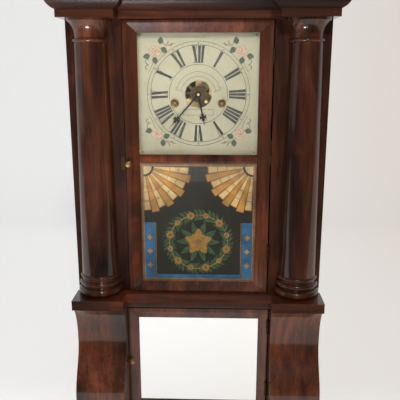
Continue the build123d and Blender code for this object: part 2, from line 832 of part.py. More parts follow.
def center_arbor():
    """Center wheel and pinion, on an arbor that carries the hands in front."""
    low, high = around(time_wheel_setback)
    shape = driven_pinion(center_at, great_module, great_pinion_pins, time_at, low, high)
    shape += driving_wheel(center_at, third_module, center_teeth, third_at, center_wheel_setback)
    shape += rod(center_at, minute_hand_setback - pipe_step, back_plate_front - end_shake, arbor_radius)
    return shape + rod(center_at, back_plate_front - 1, back_plate_back, pivot_radius)


def third_wheel():
    """Third wheel and its pinion."""
    low, high = around(center_wheel_setback)
    shape = driven_pinion(third_at, third_module, third_pins, center_at, low, high)
    shape += driving_wheel(third_at, escape_module, third_teeth, escape_at, third_wheel_setback)
    return shape + arbor(third_at, plate_inner, back_plate_front)


def escape_wheel():
    """Escape wheel with raked teeth, and its pinion."""
    low, high = around(third_wheel_setback)
    shape = driven_pinion(escape_at, escape_module, escape_pins, third_at, low, high)
    pitch = 360 / escape_teeth
    root = escape_radius - 2.4
    points = []
    for i in range(escape_teeth):
        points.append(polar(escape_at, root, i * pitch))
        points.append(polar(escape_at, escape_radius, (i + 0.5) * pitch))
        points.append(polar(escape_at, escape_radius, (i + 0.58) * pitch))
        points.append(polar(escape_at, root, (i + 0.7) * pitch))
    disc = prism(points + [points[0]], escape_wheel_setback, escape_wheel_setback + wheel_thickness)
    return shape + disc + arbor(escape_at, plate_inner, back_plate_front)


def verge():
    """Verge on the pendulum's axis: an anchor over the escape wheel, and a crutch with a fork."""
    x, z = verge_at
    d0 = escape_wheel_setback
    d1 = d0 + wheel_thickness
    half = pallet_half_span
    foot = z - pallet_drop
    right = [(half, foot), (half - 1.6, foot + 1.5), (half - 2.4, foot + 4.2)]
    left = [(half - 2.4, foot + 4.2), (half - 1.6, foot + 1.5), (half, foot)]
    outline = [(x, z + 2.5), (x + half, foot + 4.5)] + [(x + reach, level) for reach, level in right]
    outline += [(x, z - 1.6)] + [(x - reach, level) for reach, level in left] + [(x - half, foot + 4.5)]
    shape = prism(outline, d0, d1) + rod(verge_at, plate_inner + end_shake, d1, 1.6)
    shape += rod(verge_at, front_plate_setback, crutch_setback + crutch_width, pivot_radius)
    shape += rod(verge_at, crutch_setback, crutch_setback + crutch_width, 3.0)
    low = z - crutch_length
    half_wire = crutch_width / 2
    y0, y1 = back(crutch_setback), back(crutch_setback + crutch_width)
    shape += block(x - half_wire, x + half_wire, y0, y1, low, z)
    gap = pendulum_rod_radius + 0.2
    outer = gap + 1.4
    shape += block(x - outer, x + outer, y0, y1, low - crutch_width, low)
    for side in (-1, 1):
        tip = back(pendulum_setback + 3)
        shape += block(x + side * gap, x + side * outer, y0, tip, low - crutch_width, low)
    return shape


def pin_wheel():
    """Striking wheel with lifting pins on its back, and its pinion."""
    low, high = around(strike_wheel_setback)
    shape = driven_pinion(pin_wheel_at, great_module, great_pinion_pins, strike_at, low, high)
    shape += driving_wheel(pin_wheel_at, fly_module, pin_wheel_teeth, fly_at, pin_wheel_setback)
    ring = fly_module * pin_wheel_teeth / 2 - 3.5
    for i in range(lifting_pins):
        place = polar(pin_wheel_at, ring, 360 / lifting_pins * i)
        rear = pin_wheel_setback + wheel_thickness + lifting_pin_length
        shape += rod(place, pin_wheel_setback + 0.4, rear, lifting_pin_radius)
    return shape + arbor(pin_wheel_at, plate_inner, back_plate_front)


def strike_fly():
    """Fly that slows the striking: two vanes on a fine arbor with a pinion."""
    low, high = around(pin_wheel_setback)
    high = min(high, back_plate_front - end_shake)
    shape = driven_pinion(fly_at, fly_module, fly_pins, pin_wheel_at, low, high)
    x, z = fly_at
    y0, y1 = back(fly_setback), back(fly_setback + fly_vane_length)
    vane = block(x - fly_vane_half_width, x + fly_vane_half_width, y0, y1, z - 0.4, z + 0.4)
    return shape + vane + arbor(fly_at, plate_inner, back_plate_front, 1.5)


# Movement plates
arbors = (third_at, escape_at, verge_at, pin_wheel_at, fly_at, hammer_arbor)


def movement_plate(d0):
    """Brass plate with windows between its straps and a bearing hole for every arbor."""
    half = plate_half_width
    plate = block(-half, half, back(d0), back(d0 + plate_thickness), plate_bottom, plate_top)
    straps = [(0.0, center_strap_width), (third_at[0], side_strap_width)]
    straps += [(fly_at[0], side_strap_width), (pin_wheel_at[0], side_strap_width)]
    straps.sort()
    edge = -plate_window_half
    ends = [(x - width / 2, x + width / 2) for x, width in straps] + [(plate_window_half, plate_window_half)]
    for low, high in ends:
        if low - edge > 1:
            d1 = d0 + plate_thickness
            plate -= block(edge, low, back(d0 - 1), back(d1 + 1), plate_window_bottom, plate_window_top)
        edge = high
    for at in arbors:
        plate -= rod(at, d0 - 1, d0 + plate_thickness + 1, pivot_radius + running_clearance)
    return plate


def pillar_places():
    """Centers of the four pillars."""
    x = plate_half_width - pillar_inset
    return [(sx * x, z) for sx in (-1, 1) for z in (plate_bottom + pillar_inset, plate_top - pillar_inset)]


def front_plate():
    """Front plate with the bearings for the hands and winding arbors, and the stud of the minute wheel."""
    d0, d1 = front_plate_setback - 1, plate_inner + 1
    plate = movement_plate(front_plate_setback)
    plate -= rod(center_at, d0, d1, arbor_radius + running_clearance)
    for at in (time_at, strike_at):
        plate -= rod(at, d0, d1, winding_arbor_radius + running_clearance)
    plate += rod(minute_wheel_at, stud_setback, plate_inner, stud_radius)
    return plate + rod(minute_wheel_at, stud_setback, stud_setback + 0.6, stud_radius + 0.9)


def back_plate():
    """Back plate with the four pillars and the cock that the pendulum hangs from."""
    plate = movement_plate(back_plate_front)
    for at in (center_at, time_at, strike_at):
        plate -= rod(at, back_plate_front - 1, back_plate_back + 1, pivot_radius + running_clearance)
    for at in pillar_places():
        plate += rod(at, plate_inner, back_plate_front, pillar_radius)
    x, z = verge_at
    half = cock_half_width
    rear = pendulum_setback + pendulum_eye_radius
    base = z + pendulum_eye_radius + 1
    y0, y1 = back(rear), back(rear + cock_thickness)
    plate += block(x - half, x + half, back(back_plate_back), y1, base, base + cock_thickness)
    plate += block(x - half, x + half, y0, y1, z - cock_thickness, base)
    return plate + rod(verge_at, pendulum_setback - pendulum_eye_radius, rear, suspension_pin_radius)


# Motion work and hands
def cannon_pinion():
    """Cannon pinion and its pipe, free on the center arbor."""
    radius = minute_module * cannon_teeth / 2
    phase = bearing(center_at, minute_wheel_at)
    shape = toothed(center_at, radius, minute_module, cannon_teeth, phase, cannon_setback, cannon_length)
    shape += rod(center_at, minute_hand_setback - pipe_step / 2, cannon_setback, cannon_pipe_radius)
    return shape - rod(center_at, minute_hand_setback - 2, plate_inner, arbor_radius + running_clearance)


def minute_wheel():
    """Minute wheel and its pinion, on the stud of the front plate."""
    radius = minute_module * minute_wheel_teeth / 2
    towards = bearing(minute_wheel_at, center_at)
    phase = towards + 180 / minute_wheel_teeth
    place = (minute_wheel_setback, wheel_thickness)
    shape = toothed(minute_wheel_at, radius, minute_module, minute_wheel_teeth, phase, *place)
    small = hour_module * hour_pinion_teeth / 2
    low = stud_setback + 1.0
    length = minute_wheel_setback - low
    shape += toothed(minute_wheel_at, small, hour_module, hour_pinion_teeth, towards, low, length)
    return shape - rod(minute_wheel_at, stud_setback, plate_inner, stud_radius + running_clearance)


def hour_wheel():
    """Hour wheel and its pipe, free on the cannon pipe."""
    radius = hour_module * hour_wheel_teeth / 2
    phase = bearing(center_at, minute_wheel_at) + 180 / hour_wheel_teeth
    place = (hour_wheel_setback, wheel_thickness)
    shape = toothed(center_at, radius, hour_module, hour_wheel_teeth, phase, *place)
    shape += rod(center_at, hour_hand_setback - pipe_step / 2, hour_wheel_setback, hour_pipe_radius)
    bore = cannon_pipe_radius + running_clearance
    return shape - rod(center_at, hour_hand_setback - 1, cannon_setback, bore)


def hand(length, cross_radius, root_half, tip_half, collet, bore, d0, angle):
    """Hand with a four-armed cross near its point, turned clockwise from twelve o'clock."""
    arm = cross_arm
    throat, flare = 0.16 * arm, 0.52 * arm
    low, high = cross_radius - arm, cross_radius + arm
    stem_top = low + 0.5 * arm
    stem = [(-root_half, 0), (-tip_half, stem_top), (tip_half, stem_top), (root_half, 0), (-root_half, 0)]
    d1 = d0 + hand_thickness
    shape = prism(stem, d0, d1)
    for i in range(4):
        blade = [(-throat, 0), (-flare, arm), (0, 0.74 * arm), (flare, arm), (throat, 0), (-throat, 0)]
        turned_blade = Rot(0, 90 * i, 0) * prism(blade, d0, d1)
        shape += Pos(0, 0, cross_radius) * turned_blade
    neck = high - 0.5 * arm
    point = [(-throat, neck), (0, length), (throat, neck), (-throat, neck)]
    shape += prism(point, d0, d1) + rod((0, 0), d0, d1, collet)
    shape -= rod((0, 0), d0 - 1, d1 + 1, bore)
    return Pos(0, 0, dial_center_height) * Rot(0, angle, 0) * shape


def minute_hand():
    """Minute hand on the cannon pipe."""
    sizes = (minute_hand_length, minute_cross_radius, 1.7, 0.8, cannon_pipe_radius + 1.9, cannon_pipe_radius)
    return hand(*sizes, minute_hand_setback, minute_hand_angle)


def hour_hand():
    """Hour hand on the hour pipe."""
    sizes = (hour_hand_length, hour_cross_radius, 2.2, 1.0, hour_pipe_radius + 1.9, hour_pipe_radius)
    return hand(*sizes, hour_hand_setback, hour_hand_angle)


# Pendulum, hammer and gong
def pendulum_rod():
    """Wire rod with an eye on the suspension pin, and a tail with its nut below the bob."""
    x, z = verge_at
    d0, d1 = pendulum_setback - pendulum_eye_thickness / 2, pendulum_setback + pendulum_eye_thickness / 2
    shape = rod(verge_at, d0, d1, pendulum_eye_radius)
    tail = bob_height - bob_radius - rod_tail
    top = z - pendulum_eye_radius + 0.5
    shape += Pos(x, back(pendulum_setback), (top + tail) / 2) * Cylinder(pendulum_rod_radius, top - tail)
    nut = Pos(x, back(pendulum_setback), bob_height - bob_radius - 2.8) * Cylinder(3.2, 3.0)
    return shape + nut - rod(verge_at, d0 - 1, d1 + 1, suspension_pin_radius + running_clearance)


def pendulum_bob():
    """Domed bob with a vertical bore for the rod."""
    half = bob_thickness / 2
    r = bob_radius
    edge = 1.2
    line = Line((0, half), (0, -half)) + ThreePointArc((0, -half), (0.6 * r, -0.62 * half - 0.4), (r, -edge))
    line += Line((r, -edge), (r, edge)) + ThreePointArc((r, edge), (0.6 * r, 0.62 * half + 0.4), (0, half))
    disc = Pos(0, back(pendulum_setback), bob_height) * revolve(Plane.XY * make_face(line), axis=Axis.Y)
    bore = Cylinder(pendulum_rod_radius, 2 * bob_radius + 4)
    return disc - Pos(0, back(pendulum_setback), bob_height) * bore


def hammer():
    """Hammer: an arbor with a wire down to a head beside the gong."""
    x, z = hammer_arbor
    gx, gz = gong_center
    edge = gx - gong_outer_radius - gong_wire_radius - hammer_gap
    head_x = edge - hammer_head_length / 2
    y = back(hammer_setback)
    head = Pos(head_x, y, gz) * Rot(0, 90, 0) * Cylinder(hammer_head_radius, hammer_head_length)
    wire = bar_between((x, y, z), (head_x, y, gz), hammer_wire_radius)
    hub = rod(hammer_arbor, hammer_setback - 3, hammer_setback + 3, 3.0)
    return head + wire + hub + arbor(hammer_arbor, plate_inner, back_plate_front)


def gong():
    """Spiral steel gong on a post and an iron block fixed to the backboard."""
    x, z = gong_center
    y = back(hammer_setback)
    half = gong_block / 2
    block_front = backboard_front - gong_block_depth
    base = block(x - half, x + half, block_front, backboard_front, z - half, z + half)
    grip = gong_wire_radius - 0.4
    post = rod(gong_center, hammer_setback + grip, block_front - front_y + 1, gong_post_radius)
    line = None
    reach = gong_outer_radius - gong_turns * gong_pitch
    side = 1
    start = reach
    step = gong_pitch / 2
    for i in range(2 * gong_turns):
        end = start + step
        middle = (side * (start - end) / 2, side * (start + end) / 2)
        arc = ThreePointArc((side * start, 0), middle, (-side * end, 0))
        line = arc if line is None else line + arc
        side, start = -side, end
    path = Pos(x, y, z) * (Rot(90, 0, 0) * line)
    profile = Plane(origin=path @ 0, z_dir=path % 0) * Circle(gong_wire_radius)
    bridge = rod(gong_center, hammer_setback - grip, hammer_setback + grip, reach)
    return base + post + bridge + sweep(profile, path=path)


# Weights, pulleys and cords
def weight():
    """Right weight: an iron block with rounded edges and a wire ring on top."""
    y = back(cord_plane_setback)
    half, deep = weight_width / 2, weight_depth / 2
    body = block(chute_center - half, chute_center + half, y - deep, y + deep, weight_bottom, weight_top)
    body = fillet(body.edges(), 3.0)
    ring = Pos(chute_center, y, hook_z) * Rot(90, 0, 0) * Torus(hook_ring_radius, hook_wire_radius)
    return body + ring


def pulley():
    """Right pulley: a grooved wheel on its axle."""
    y = back(cord_plane_setback)
    outer = pulley_radius + pulley_flange
    half = pulley_width / 2
    shape = Cylinder(outer, pulley_width)
    groove = Cylinder(outer + 1, pulley_groove_width) - Cylinder(pulley_radius, pulley_groove_width)
    reach = half + 1.0 + bearing_block_thickness
    shape = shape - groove + Cylinder(pulley_axle_radius, 2 * reach)
    return Pos(pulley_x, y, pulley_z) * Rot(90, 0, 0) * shape


def standing_cord():
    """Right cord from the drum up to the pulley and over it."""
    y = back(cord_plane_setback)
    drum_reach, pulley_reach = drum_radius + cord_reach, pulley_radius + cord_reach
    line_angle = bearing(time_at, (pulley_x, pulley_z))
    distance = spacing(time_at, (pulley_x, pulley_z))
    lean = math.degrees(math.asin((drum_reach + pulley_reach) / distance))
    slope = line_angle + lean
    start = polar(time_at, drum_reach, slope - 90)
    meet = polar((pulley_x, pulley_z), pulley_reach, slope + 90)
    over = polar((pulley_x, pulley_z), pulley_reach, (slope + 90) / 2)
    end = (pulley_x + pulley_reach, pulley_z)
    run = [(point[0], y, point[1]) for point in (start, meet, over, end)]
    path = Line(run[0], run[1]) + ThreePointArc(run[1], run[2], run[3])
    return sweep(Plane(origin=run[0], z_dir=path % 0) * Circle(cord_radius), path=path)


def hanging_cord():
    """Right cord from the pulley down to the ring of the weight."""
    low = hook_z + hook_ring_radius + hook_wire_radius + cord_gap
    x = pulley_x + pulley_radius + cord_reach
    return Pos(x, back(cord_plane_setback), (low + pulley_z) / 2) * Cylinder(cord_radius, pulley_z - low)


# Case
save("backboard", block(-half_width, half_width, backboard_front, back_y, 0, crown_top))
save("case_side_right", case_side())
save("case_side_left", flip(case_side()))
save("front_stile_right", *front_stile())
save("front_stile_left", *[flip(length) for length in front_stile()])
floor_depth = (back(stile_thickness), backboard_front)
save("bottom_board", block(-inner_half, inner_half, *floor_depth, 0, bottom_board_thickness))
rail_depth = (back(0), back(stile_thickness))
save("base_rail", block(-lower_stile_inner, lower_stile_inner, *rail_depth, 0, base_rail_height))
save("header_rails", *header_rails())
save("top_board", *top_board())
save("cornice_top_board", block(-inner_half, inner_half, *floor_depth, cover_board_bottom, crown_top))
save("column_shelf", column_shelf())
save("frieze", frieze())
save("cornice_crown", cornice_crown())
save("scroll_pilasters", scroll_pilaster(), flip(scroll_pilaster()))
save("column_shafts", column_shaft(), flip(column_shaft()))
save("column_bases", column_base(), flip(column_base()))
save("column_capitals", column_capital(), flip(column_capital()))
save("weight_chutes", *weight_chutes())
save("seat_board", seat_board())
save("dial_board", dial_board())
save("dial_battens", *dial_battens())

# Doors
save("upper_door_frame", *upper_door_frame())
door_glass = (glass_thickness, glass_front)
save("dial_glass", pane(upper_sight_half, mid_rail_top, upper_sight_top, *door_glass))
save("tablet_glass", pane(upper_sight_half, upper_sight_bottom, mid_rail_bottom, *door_glass))
save("upper_door_knob", knob(upper_knob_x, upper_knob_height))
save("lower_door_frame", *lower_door_frame())
mirror_sight = (lower_sight_half, lower_sight_bottom, lower_sight_top)
save("mirror_glass", pane(*mirror_sight, mirror_thickness, glass_front))
save("mirror_backing", pane(*mirror_sight, mirror_backing_thickness, glass_front + mirror_thickness))
save("lower_door_knob", knob(lower_knob_x, lower_knob_height))
upper_hinges = [hinge(upper_hinge_edge, upper_hinge_x, height) for height in upper_hinge_heights]
lower_hinges = [hinge(lower_hinge_edge, lower_hinge_x, height) for height in lower_hinge_heights]
save("upper_door_hinges", *[door for door, _ in upper_hinges])
save("lower_door_hinges", *[door for door, _ in lower_hinges])
save("case_hinge_leaves", *[case for _, case in upper_hinges + lower_hinges], catch_plate())

# Movement
save("front_plate", front_plate())
save("back_plate", back_plate())
save("time_great_wheel", great_wheel(time_at, center_at, time_wheel_setback))
save("time_drum", winding_drum(time_at, time_wheel_setback))
save("center_wheel", center_arbor())
save("third_wheel", third_wheel())
save("escape_wheel", escape_wheel())
save("verge", verge())
save("strike_great_wheel", great_wheel(strike_at, pin_wheel_at, strike_wheel_setback))
save("strike_drum", winding_drum(strike_at, strike_wheel_setback))
save("pin_wheel", pin_wheel())
save("strike_fly", strike_fly())
save("cannon_pinion", cannon_pinion())
save("minute_wheel", minute_wheel())
save("hour_wheel", hour_wheel())
save("minute_hand", minute_hand())
save("hour_hand", hour_hand())

# Pendulum, gong, weights and cords
save("pendulum_rod", pendulum_rod())
save("pendulum_bob", pendulum_bob())
save("hammer", hammer())
save("gong", gong())
save("time_weight", weight())
save("strike_weight", flip(weight()))
save("time_pulley", pulley())
save("strike_pulley", flip(pulley()))
save("standing_cords", standing_cord(), flip(standing_cord()))
save("time_hanging_cord", hanging_cord())
save("strike_hanging_cord", flip(hanging_cord()))
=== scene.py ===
"""Looks of an empire shelf clock: varnished mahogany case with half-round columns and scroll pilasters,
painted dial, painted glass tablet and mirror in two doors, brass movement, weights and pendulum.
Every length is in metres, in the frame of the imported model: X to the right, Y away from the front, Z up."""
import math

import bpy
import numpy as np
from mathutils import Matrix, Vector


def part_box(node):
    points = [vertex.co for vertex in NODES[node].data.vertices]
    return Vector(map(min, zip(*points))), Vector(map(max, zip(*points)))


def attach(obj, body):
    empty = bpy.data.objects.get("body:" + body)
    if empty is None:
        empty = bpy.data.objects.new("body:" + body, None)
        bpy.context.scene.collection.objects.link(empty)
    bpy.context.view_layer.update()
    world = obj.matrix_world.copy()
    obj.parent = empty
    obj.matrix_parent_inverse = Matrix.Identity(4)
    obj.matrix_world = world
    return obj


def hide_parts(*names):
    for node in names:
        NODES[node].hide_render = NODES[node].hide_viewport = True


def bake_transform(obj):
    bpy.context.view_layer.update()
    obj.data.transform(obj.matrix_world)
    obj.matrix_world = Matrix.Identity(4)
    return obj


bl_info = {
    "name": "Empire shelf clock",
    "version": (1, 0, 0),
    "blender": (4, 5, 0),
    "location": "3D View > Sidebar > Clock",
    "description": "Builds the finishes and painted details of a two-door shelf clock",
    "category": "Object",
}

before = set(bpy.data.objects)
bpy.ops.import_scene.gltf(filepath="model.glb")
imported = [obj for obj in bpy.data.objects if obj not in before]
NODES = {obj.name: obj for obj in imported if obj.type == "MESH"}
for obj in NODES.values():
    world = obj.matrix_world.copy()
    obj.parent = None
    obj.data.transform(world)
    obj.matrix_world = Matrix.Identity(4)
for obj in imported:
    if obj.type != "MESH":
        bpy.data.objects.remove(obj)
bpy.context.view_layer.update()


def middle_of(node):
    """Middle of a node's box at rest."""
    low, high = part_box(node)
    return (low + high) / 2


# Places measured on the solids
DIAL_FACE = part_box("dial_board")[0].y
CENTER_Z = middle_of("hour_wheel").z
WINDING = middle_of("time_drum")
TABLET_LOW, TABLET_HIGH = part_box("tablet_glass")

# Which nodes each finish covers; mahogany also has the way of its grain, seed, painted light and shade, and
# gloss
# Painted light and shade: lighter and darker copies of one mahogany, one for each part, the cornice's darkest
MAHOGANY = {
    "mahogany_upright": ("Z", 1.0, 0.68, 1.0, ("front_stile_left", "front_stile_right")),
    "mahogany_level": ("X", 4.0, 1.15, 1.0, ("header_rails", "base_rail", "column_shelf", "frieze")),
    "mahogany_cornice": ("X", 6.0, 0.5, 0.15, ("cornice_crown",)),
    "mahogany_turned": ("Z", 7.0, 1.1, 1.0, ("column_bases", "column_capitals")),
    "mahogany_shaft": ("Z", 9.0, 0.9, 1.0, ("column_shafts",)),
    "mahogany_scroll": ("Z", 12.0, 1.4, 1.0, ("scroll_pilasters",)),
    "mahogany_side": ("Z", 15.0, 0.8, 1.0, ("case_side_left", "case_side_right")),
}
# Door frames: the same mahogany, made lighter as painted light
DOOR_MAHOGANY = ("Z", 21.0, 1.25, 1.0)
PINE_NODES = ("backboard", "bottom_board", "top_board", "cornice_top_board", "weight_chutes", "seat_board",
              "dial_battens")
PULLEY_NODES = ("time_pulley", "strike_pulley", "time_drum", "strike_drum")
METAL_NODES = {
    "brass": ("front_plate", "back_plate", "pendulum_bob"),
    "brass_wheels": ("time_great_wheel", "strike_great_wheel", "center_wheel", "third_wheel", "pin_wheel",
                     "escape_wheel", "strike_fly"),
    # Motion wheels behind the dial: tarnished brass, darkened much further as painted shade
    "brass_dull": ("minute_wheel", "hour_wheel", "cannon_pinion"),
    "brass_trim": ("upper_door_knob", "lower_door_knob"),
    "old_hinge": ("upper_door_hinges", "lower_door_hinges", "case_hinge_leaves"),
    "steel": ("verge", "hammer", "gong", "pendulum_rod"),
    "hand_steel": ("minute_hand", "hour_hand"),
}
CORD_NODES = ("time_hanging_cord", "strike_hanging_cord", "standing_cords")
ROUND_NODES = ("pendulum_bob", "upper_door_knob", "lower_door_knob", "time_pulley", "strike_pulley", "gong",
               "hammer", "pendulum_rod", *CORD_NODES)
SHARP_ANGLE = 35  # degrees between faces past which a round node keeps its edge

# Dial: how far each layer of paint stands before the plate
LEAF_LIFT = 0.00008
RING_LIFT = 0.00012
ROSE_LIFT = 0.00014
NUMERAL_LIFT = 0.00016
PETAL_STEP = 0.00006
# Dial: widths and radii of its lines and dots
RING_HALF = 0.00035
HOUR_DOT, MINUTE_DOT = 0.0011, 0.0005
FRAME_LINE = 0.0006
STEM_LINE = 0.0008
ARCH_RADII = (0.0297, 0.0375)
ARCH_ENDS = (0.0285, 0.0388)
ARCH_RISE = 0.2  # radians above the horizontal at which the arched frame ends
FRAME_HALF, FRAME_TOP, FRAME_FOOT = 0.0255, -0.0252, -0.0348
# Roman letters in widths of the thick stroke: room across, strokes as (x at the head, x at the foot, is
# thick), and end lines as (x, is at the head, width)
LETTERS = {
    "I": (1.2, [(0.6, 0.6, True)], [(0.6, True, 1.75), (0.6, False, 1.75)]),
    "V": (2.05, [(0.6, 1.125, True), (1.7, 1.225, False)], [(0.6, True, 1.7), (1.7, True, 1.2)]),
    "X": (2.05, [(0.6, 1.45, True), (1.65, 0.4, False)],
          [(0.6, True, 1.7), (1.65, True, 1.2), (0.4, False, 1.2), (1.45, False, 1.7)]),
}
HOURS = "XII I II III IIII V VI VII VIII IX X XI".split()
LETTER_GAP = 0.1
UP_STROKE = 1.3  # width of an up stroke in thin strokes
FOOT_SQUEEZE, FOOT_TAPER = 0.72, 0.74
# Corner bouquets: leaves as (x, z, turn) from the dial's middle, tendrils as (x, z, turn, size)
UPPER_LEAVES = ((0.0635, 0.0815, 1.7), (0.0615, 0.0765, 3.9), (0.0805, 0.0635, 6.1), (0.0745, 0.0615, 4.4))
LOWER_LEAVES = ((0.0795, 0.0605, 0.2), (0.0745, 0.0585, 1.5), (0.0615, 0.0765, 1.6), (0.0605, 0.0735, 3.6))
LEAF_LENGTH, LEAF_WIDTH = 0.0125, 0.0112
TENDRILS = ((0.0505, 0.0875, 2.7, 0.0062), (0.083, 0.049, 4.5, 0.0062), (0.0865, 0.041, 4.9, 0.0045),
            (0.0445, 0.0845, 2.4, 0.004))
TENDRIL_TURNS, TENDRIL_LINE = 0.75, 0.0014
ROSE_X, ROSE_UPPER_Z, ROSE_LOWER_Z, ROSE_SIZE = 0.0722, 0.0705, 0.067, 0.0088
ROSE_DISCS = ((1.0, 0.11, 5, 0.0), (0.68, 0.12, 4, 0.6))  # share of the size, wave, lobes, turn
# Dial fittings as profiles of (radius, distance before the plate)
GROMMET = ((0.0059, 0.0), (0.0059, -0.0007), (0.0064, -0.0012), (0.007, -0.0012), (0.0076, -0.0007),
           (0.0078, 0.0))
PIN = ((0.0, -0.0008), (0.0008, -0.0007), (0.0014, -0.0003), (0.0015, 0.0))
PIN_X, PIN_HEIGHTS = 0.096255, (-0.09858, 0.09672)

# Tablet: the painting ends just inside the pane's edge, in thin layers behind the glass
EDGE_GAP = 0.0004
LAYER_GAP, LAYER_STEP = 0.00005, 0.00007
HALF_WIDTH = TABLET_HIGH.x - EDGE_GAP
HALF_HEIGHT = (TABLET_HIGH.z - TABLET_LOW.z) / 2 - EDGE_GAP
TABLET_MIDDLE = (TABLET_LOW.z + TABLET_HIGH.z) / 2
FAN_INSET, FAN_HUB, FAN_REACH, FAN_SCALLOP = 0.009, 0.018, 0.079, 0.005
FAN_EYE = 0.0145
FAN_BLADES, BLADE_SHARE = 9, 0.86
FAN_BANDS = (0.046, 0.062)
FAN_BAND_HALF = 0.0007
RIB_HUB_WIDTH, RIB_EDGE_WIDTH, RIB_RIM = 0.0005, 0.0013, 0.0016
RIM_HALF = 0.0035
BORDER_INSET, BORDER_HALF = 0.0078, 0.0006
PANEL_INSET, PANEL_HALF, PANEL_LINE_INSET, PANEL_LINE_HALF = 0.0175, 0.0095, 0.0285, 0.0005
PANEL_DROP, PANEL_CUT = 0.051, 0.059  # below the middle, and off the half height
PANEL_STARS, STAR_STEP, STAR_DROP, STAR_SIZE = 3, 0.026, 0.078, 0.0042
FOOT_RISE, FOOT_HALF, FOOT_CUT = 0.0122, 0.0038, 0.029
WREATH_WIDE, WREATH_TALL, WREATH_DROP = 0.052, 0.05, 0.034
WREATH_LEAVES, WREATH_FLOWERS = 44, 12
WORN = {"variation": 0.45, "roughness": 0.5, "scale": 34.0}

# Stage: the lens that took the view, and the floor that rises into a wall
CAMERA_PLACE, CAMERA_PITCH, CAMERA_YAW = (0.03075, -0.96976, 0.68136), -13.67, 1.72
LENS, SENSOR = 48.83, 36.0  # millimetres
FLOOR_ROWS, FLOOR_COLUMNS, FLOOR_HALF = 49, 9, 3.5
WALL_START, WALL_RUN, WALL_HEIGHT = 1.2, 0.9, 2.8
FLOOR_DROP = 0.0002
CARD_SPREAD = 38  # degrees


# Shader building
class Finish:
    """A node material or world, built step by step; each call adds a node and gives back its output."""

    def __init__(self, name, kind="materials"):
        self.owner = getattr(bpy.data, kind).new(name)
        self.owner.use_nodes = True
        self.tree = self.owner.node_tree
        self.tree.nodes.clear()
        self.column = 0

    def node(self, kind, sockets, **settings):
        """Adds a node with its plain settings. Sockets, by name or number, get a constant or another node's
        output; None leaves one as it is."""
        made = self.tree.nodes.new(kind)
        self.column += 1
        made.location = (160 * self.column, -60 * (self.column % 5))
        for key, value in settings.items():
            setattr(made, key, value)
        for key, value in sockets.items():
            if isinstance(value, bpy.types.NodeSocket):
                self.tree.links.new(value, made.inputs[key])
            elif value is not None:
                made.inputs[key].default_value = value
        return made

    def place(self, scale=(1, 1, 1), move=(0, 0, 0)):
        """Object coordinates, moved and scaled."""
        own = self.node("ShaderNodeTexCoord", {}).outputs["Object"]
        return self.node("ShaderNodeMapping", {"Vector": own, "Location": move, "Scale": scale}).outputs[0]

    def noise(self, place, scale, detail=3.0, rough=0.6, warp=0.0):
        """Cloudy noise at a place, as a number about 0.5."""
        sockets = {"Vector": place, "Scale": scale, "Detail": detail, "Roughness": rough, "Distortion": warp}
        return self.node("ShaderNodeTexNoise", sockets).outputs["Fac"]

    def math(self, operation, first, second):
        """One arithmetic step."""
        return self.node("ShaderNodeMath", {0: first, 1: second}, operation=operation).outputs[0]

    def part(self, vector, axis):
        """One number of a vector."""
        return self.node("ShaderNodeSeparateXYZ", {0: vector}).outputs[axis]

    def spread(self, value, low, high, to_low=0.0, to_high=1.0):
        """Maps a range of numbers to another, clamped at both ends."""
        sockets = {0: value, 1: low, 2: high, 3: to_low, 4: to_high}
        return self.node("ShaderNodeMapRange", sockets, clamp=True).outputs[0]

    def ramp(self, value, *stops):
        """Colour ramp; each stop is a position and a colour."""
        made = self.node("ShaderNodeValToRGB", {0: value})
        elements = made.color_ramp.elements
        elements.remove(elements[-1])
        while len(elements) < len(stops):
            elements.new(1.0)
        for element, (position, color) in zip(elements, stops):
            element.position = position
            element.color = rgba(color)
        return made.outputs[0]

    def mix(self, share, first, second):
        """Mixes two colours."""
        first, second = (c if isinstance(c, bpy.types.NodeSocket) else rgba(c) for c in (first, second))
        return self.node("ShaderNodeMix", {0: share, 6: first, 7: second}, data_type="RGBA").outputs[2]

    def join(self, share, first, second):
        """Mixes two shaders."""
        return self.node("ShaderNodeMixShader", {0: share, 1: first, 2: second}).outputs[0]

    def bump(self, height, strength, distance, under=None):
        """Bumped normal from a height, over an earlier one."""
        sockets = {"Strength": strength, "Distance": distance, "Height": height, "Normal": under}
        return self.node("ShaderNodeBump", sockets).outputs[0]

    def surface(self, normal=None, **sockets):
        """Shader of a principled surface; names are the sockets' names with underscores."""
        named = {key.replace("_", " "): value for key, value in sockets.items()}
        return self.node("ShaderNodeBsdfPrincipled", {**named, "Normal": normal}).outputs[0]

    def done(self, shader, output="ShaderNodeOutputMaterial"):
        """Ends the material or world with this shader."""
        self.node(output, {"Surface": shader})
        return self.owner


def rgba(color):
    """Colour as four numbers."""
    return (*color[:3], 1.0)


def shade(color, factor):
    """Colour made lighter or darker by a factor."""
    return tuple(min(1.0, c * factor) for c in color[:3])


def drawn(axis, factor):
    """Scale that draws a pattern out along one axis."""
    return [factor if name == axis else 1.0 for name in "XYZ"]


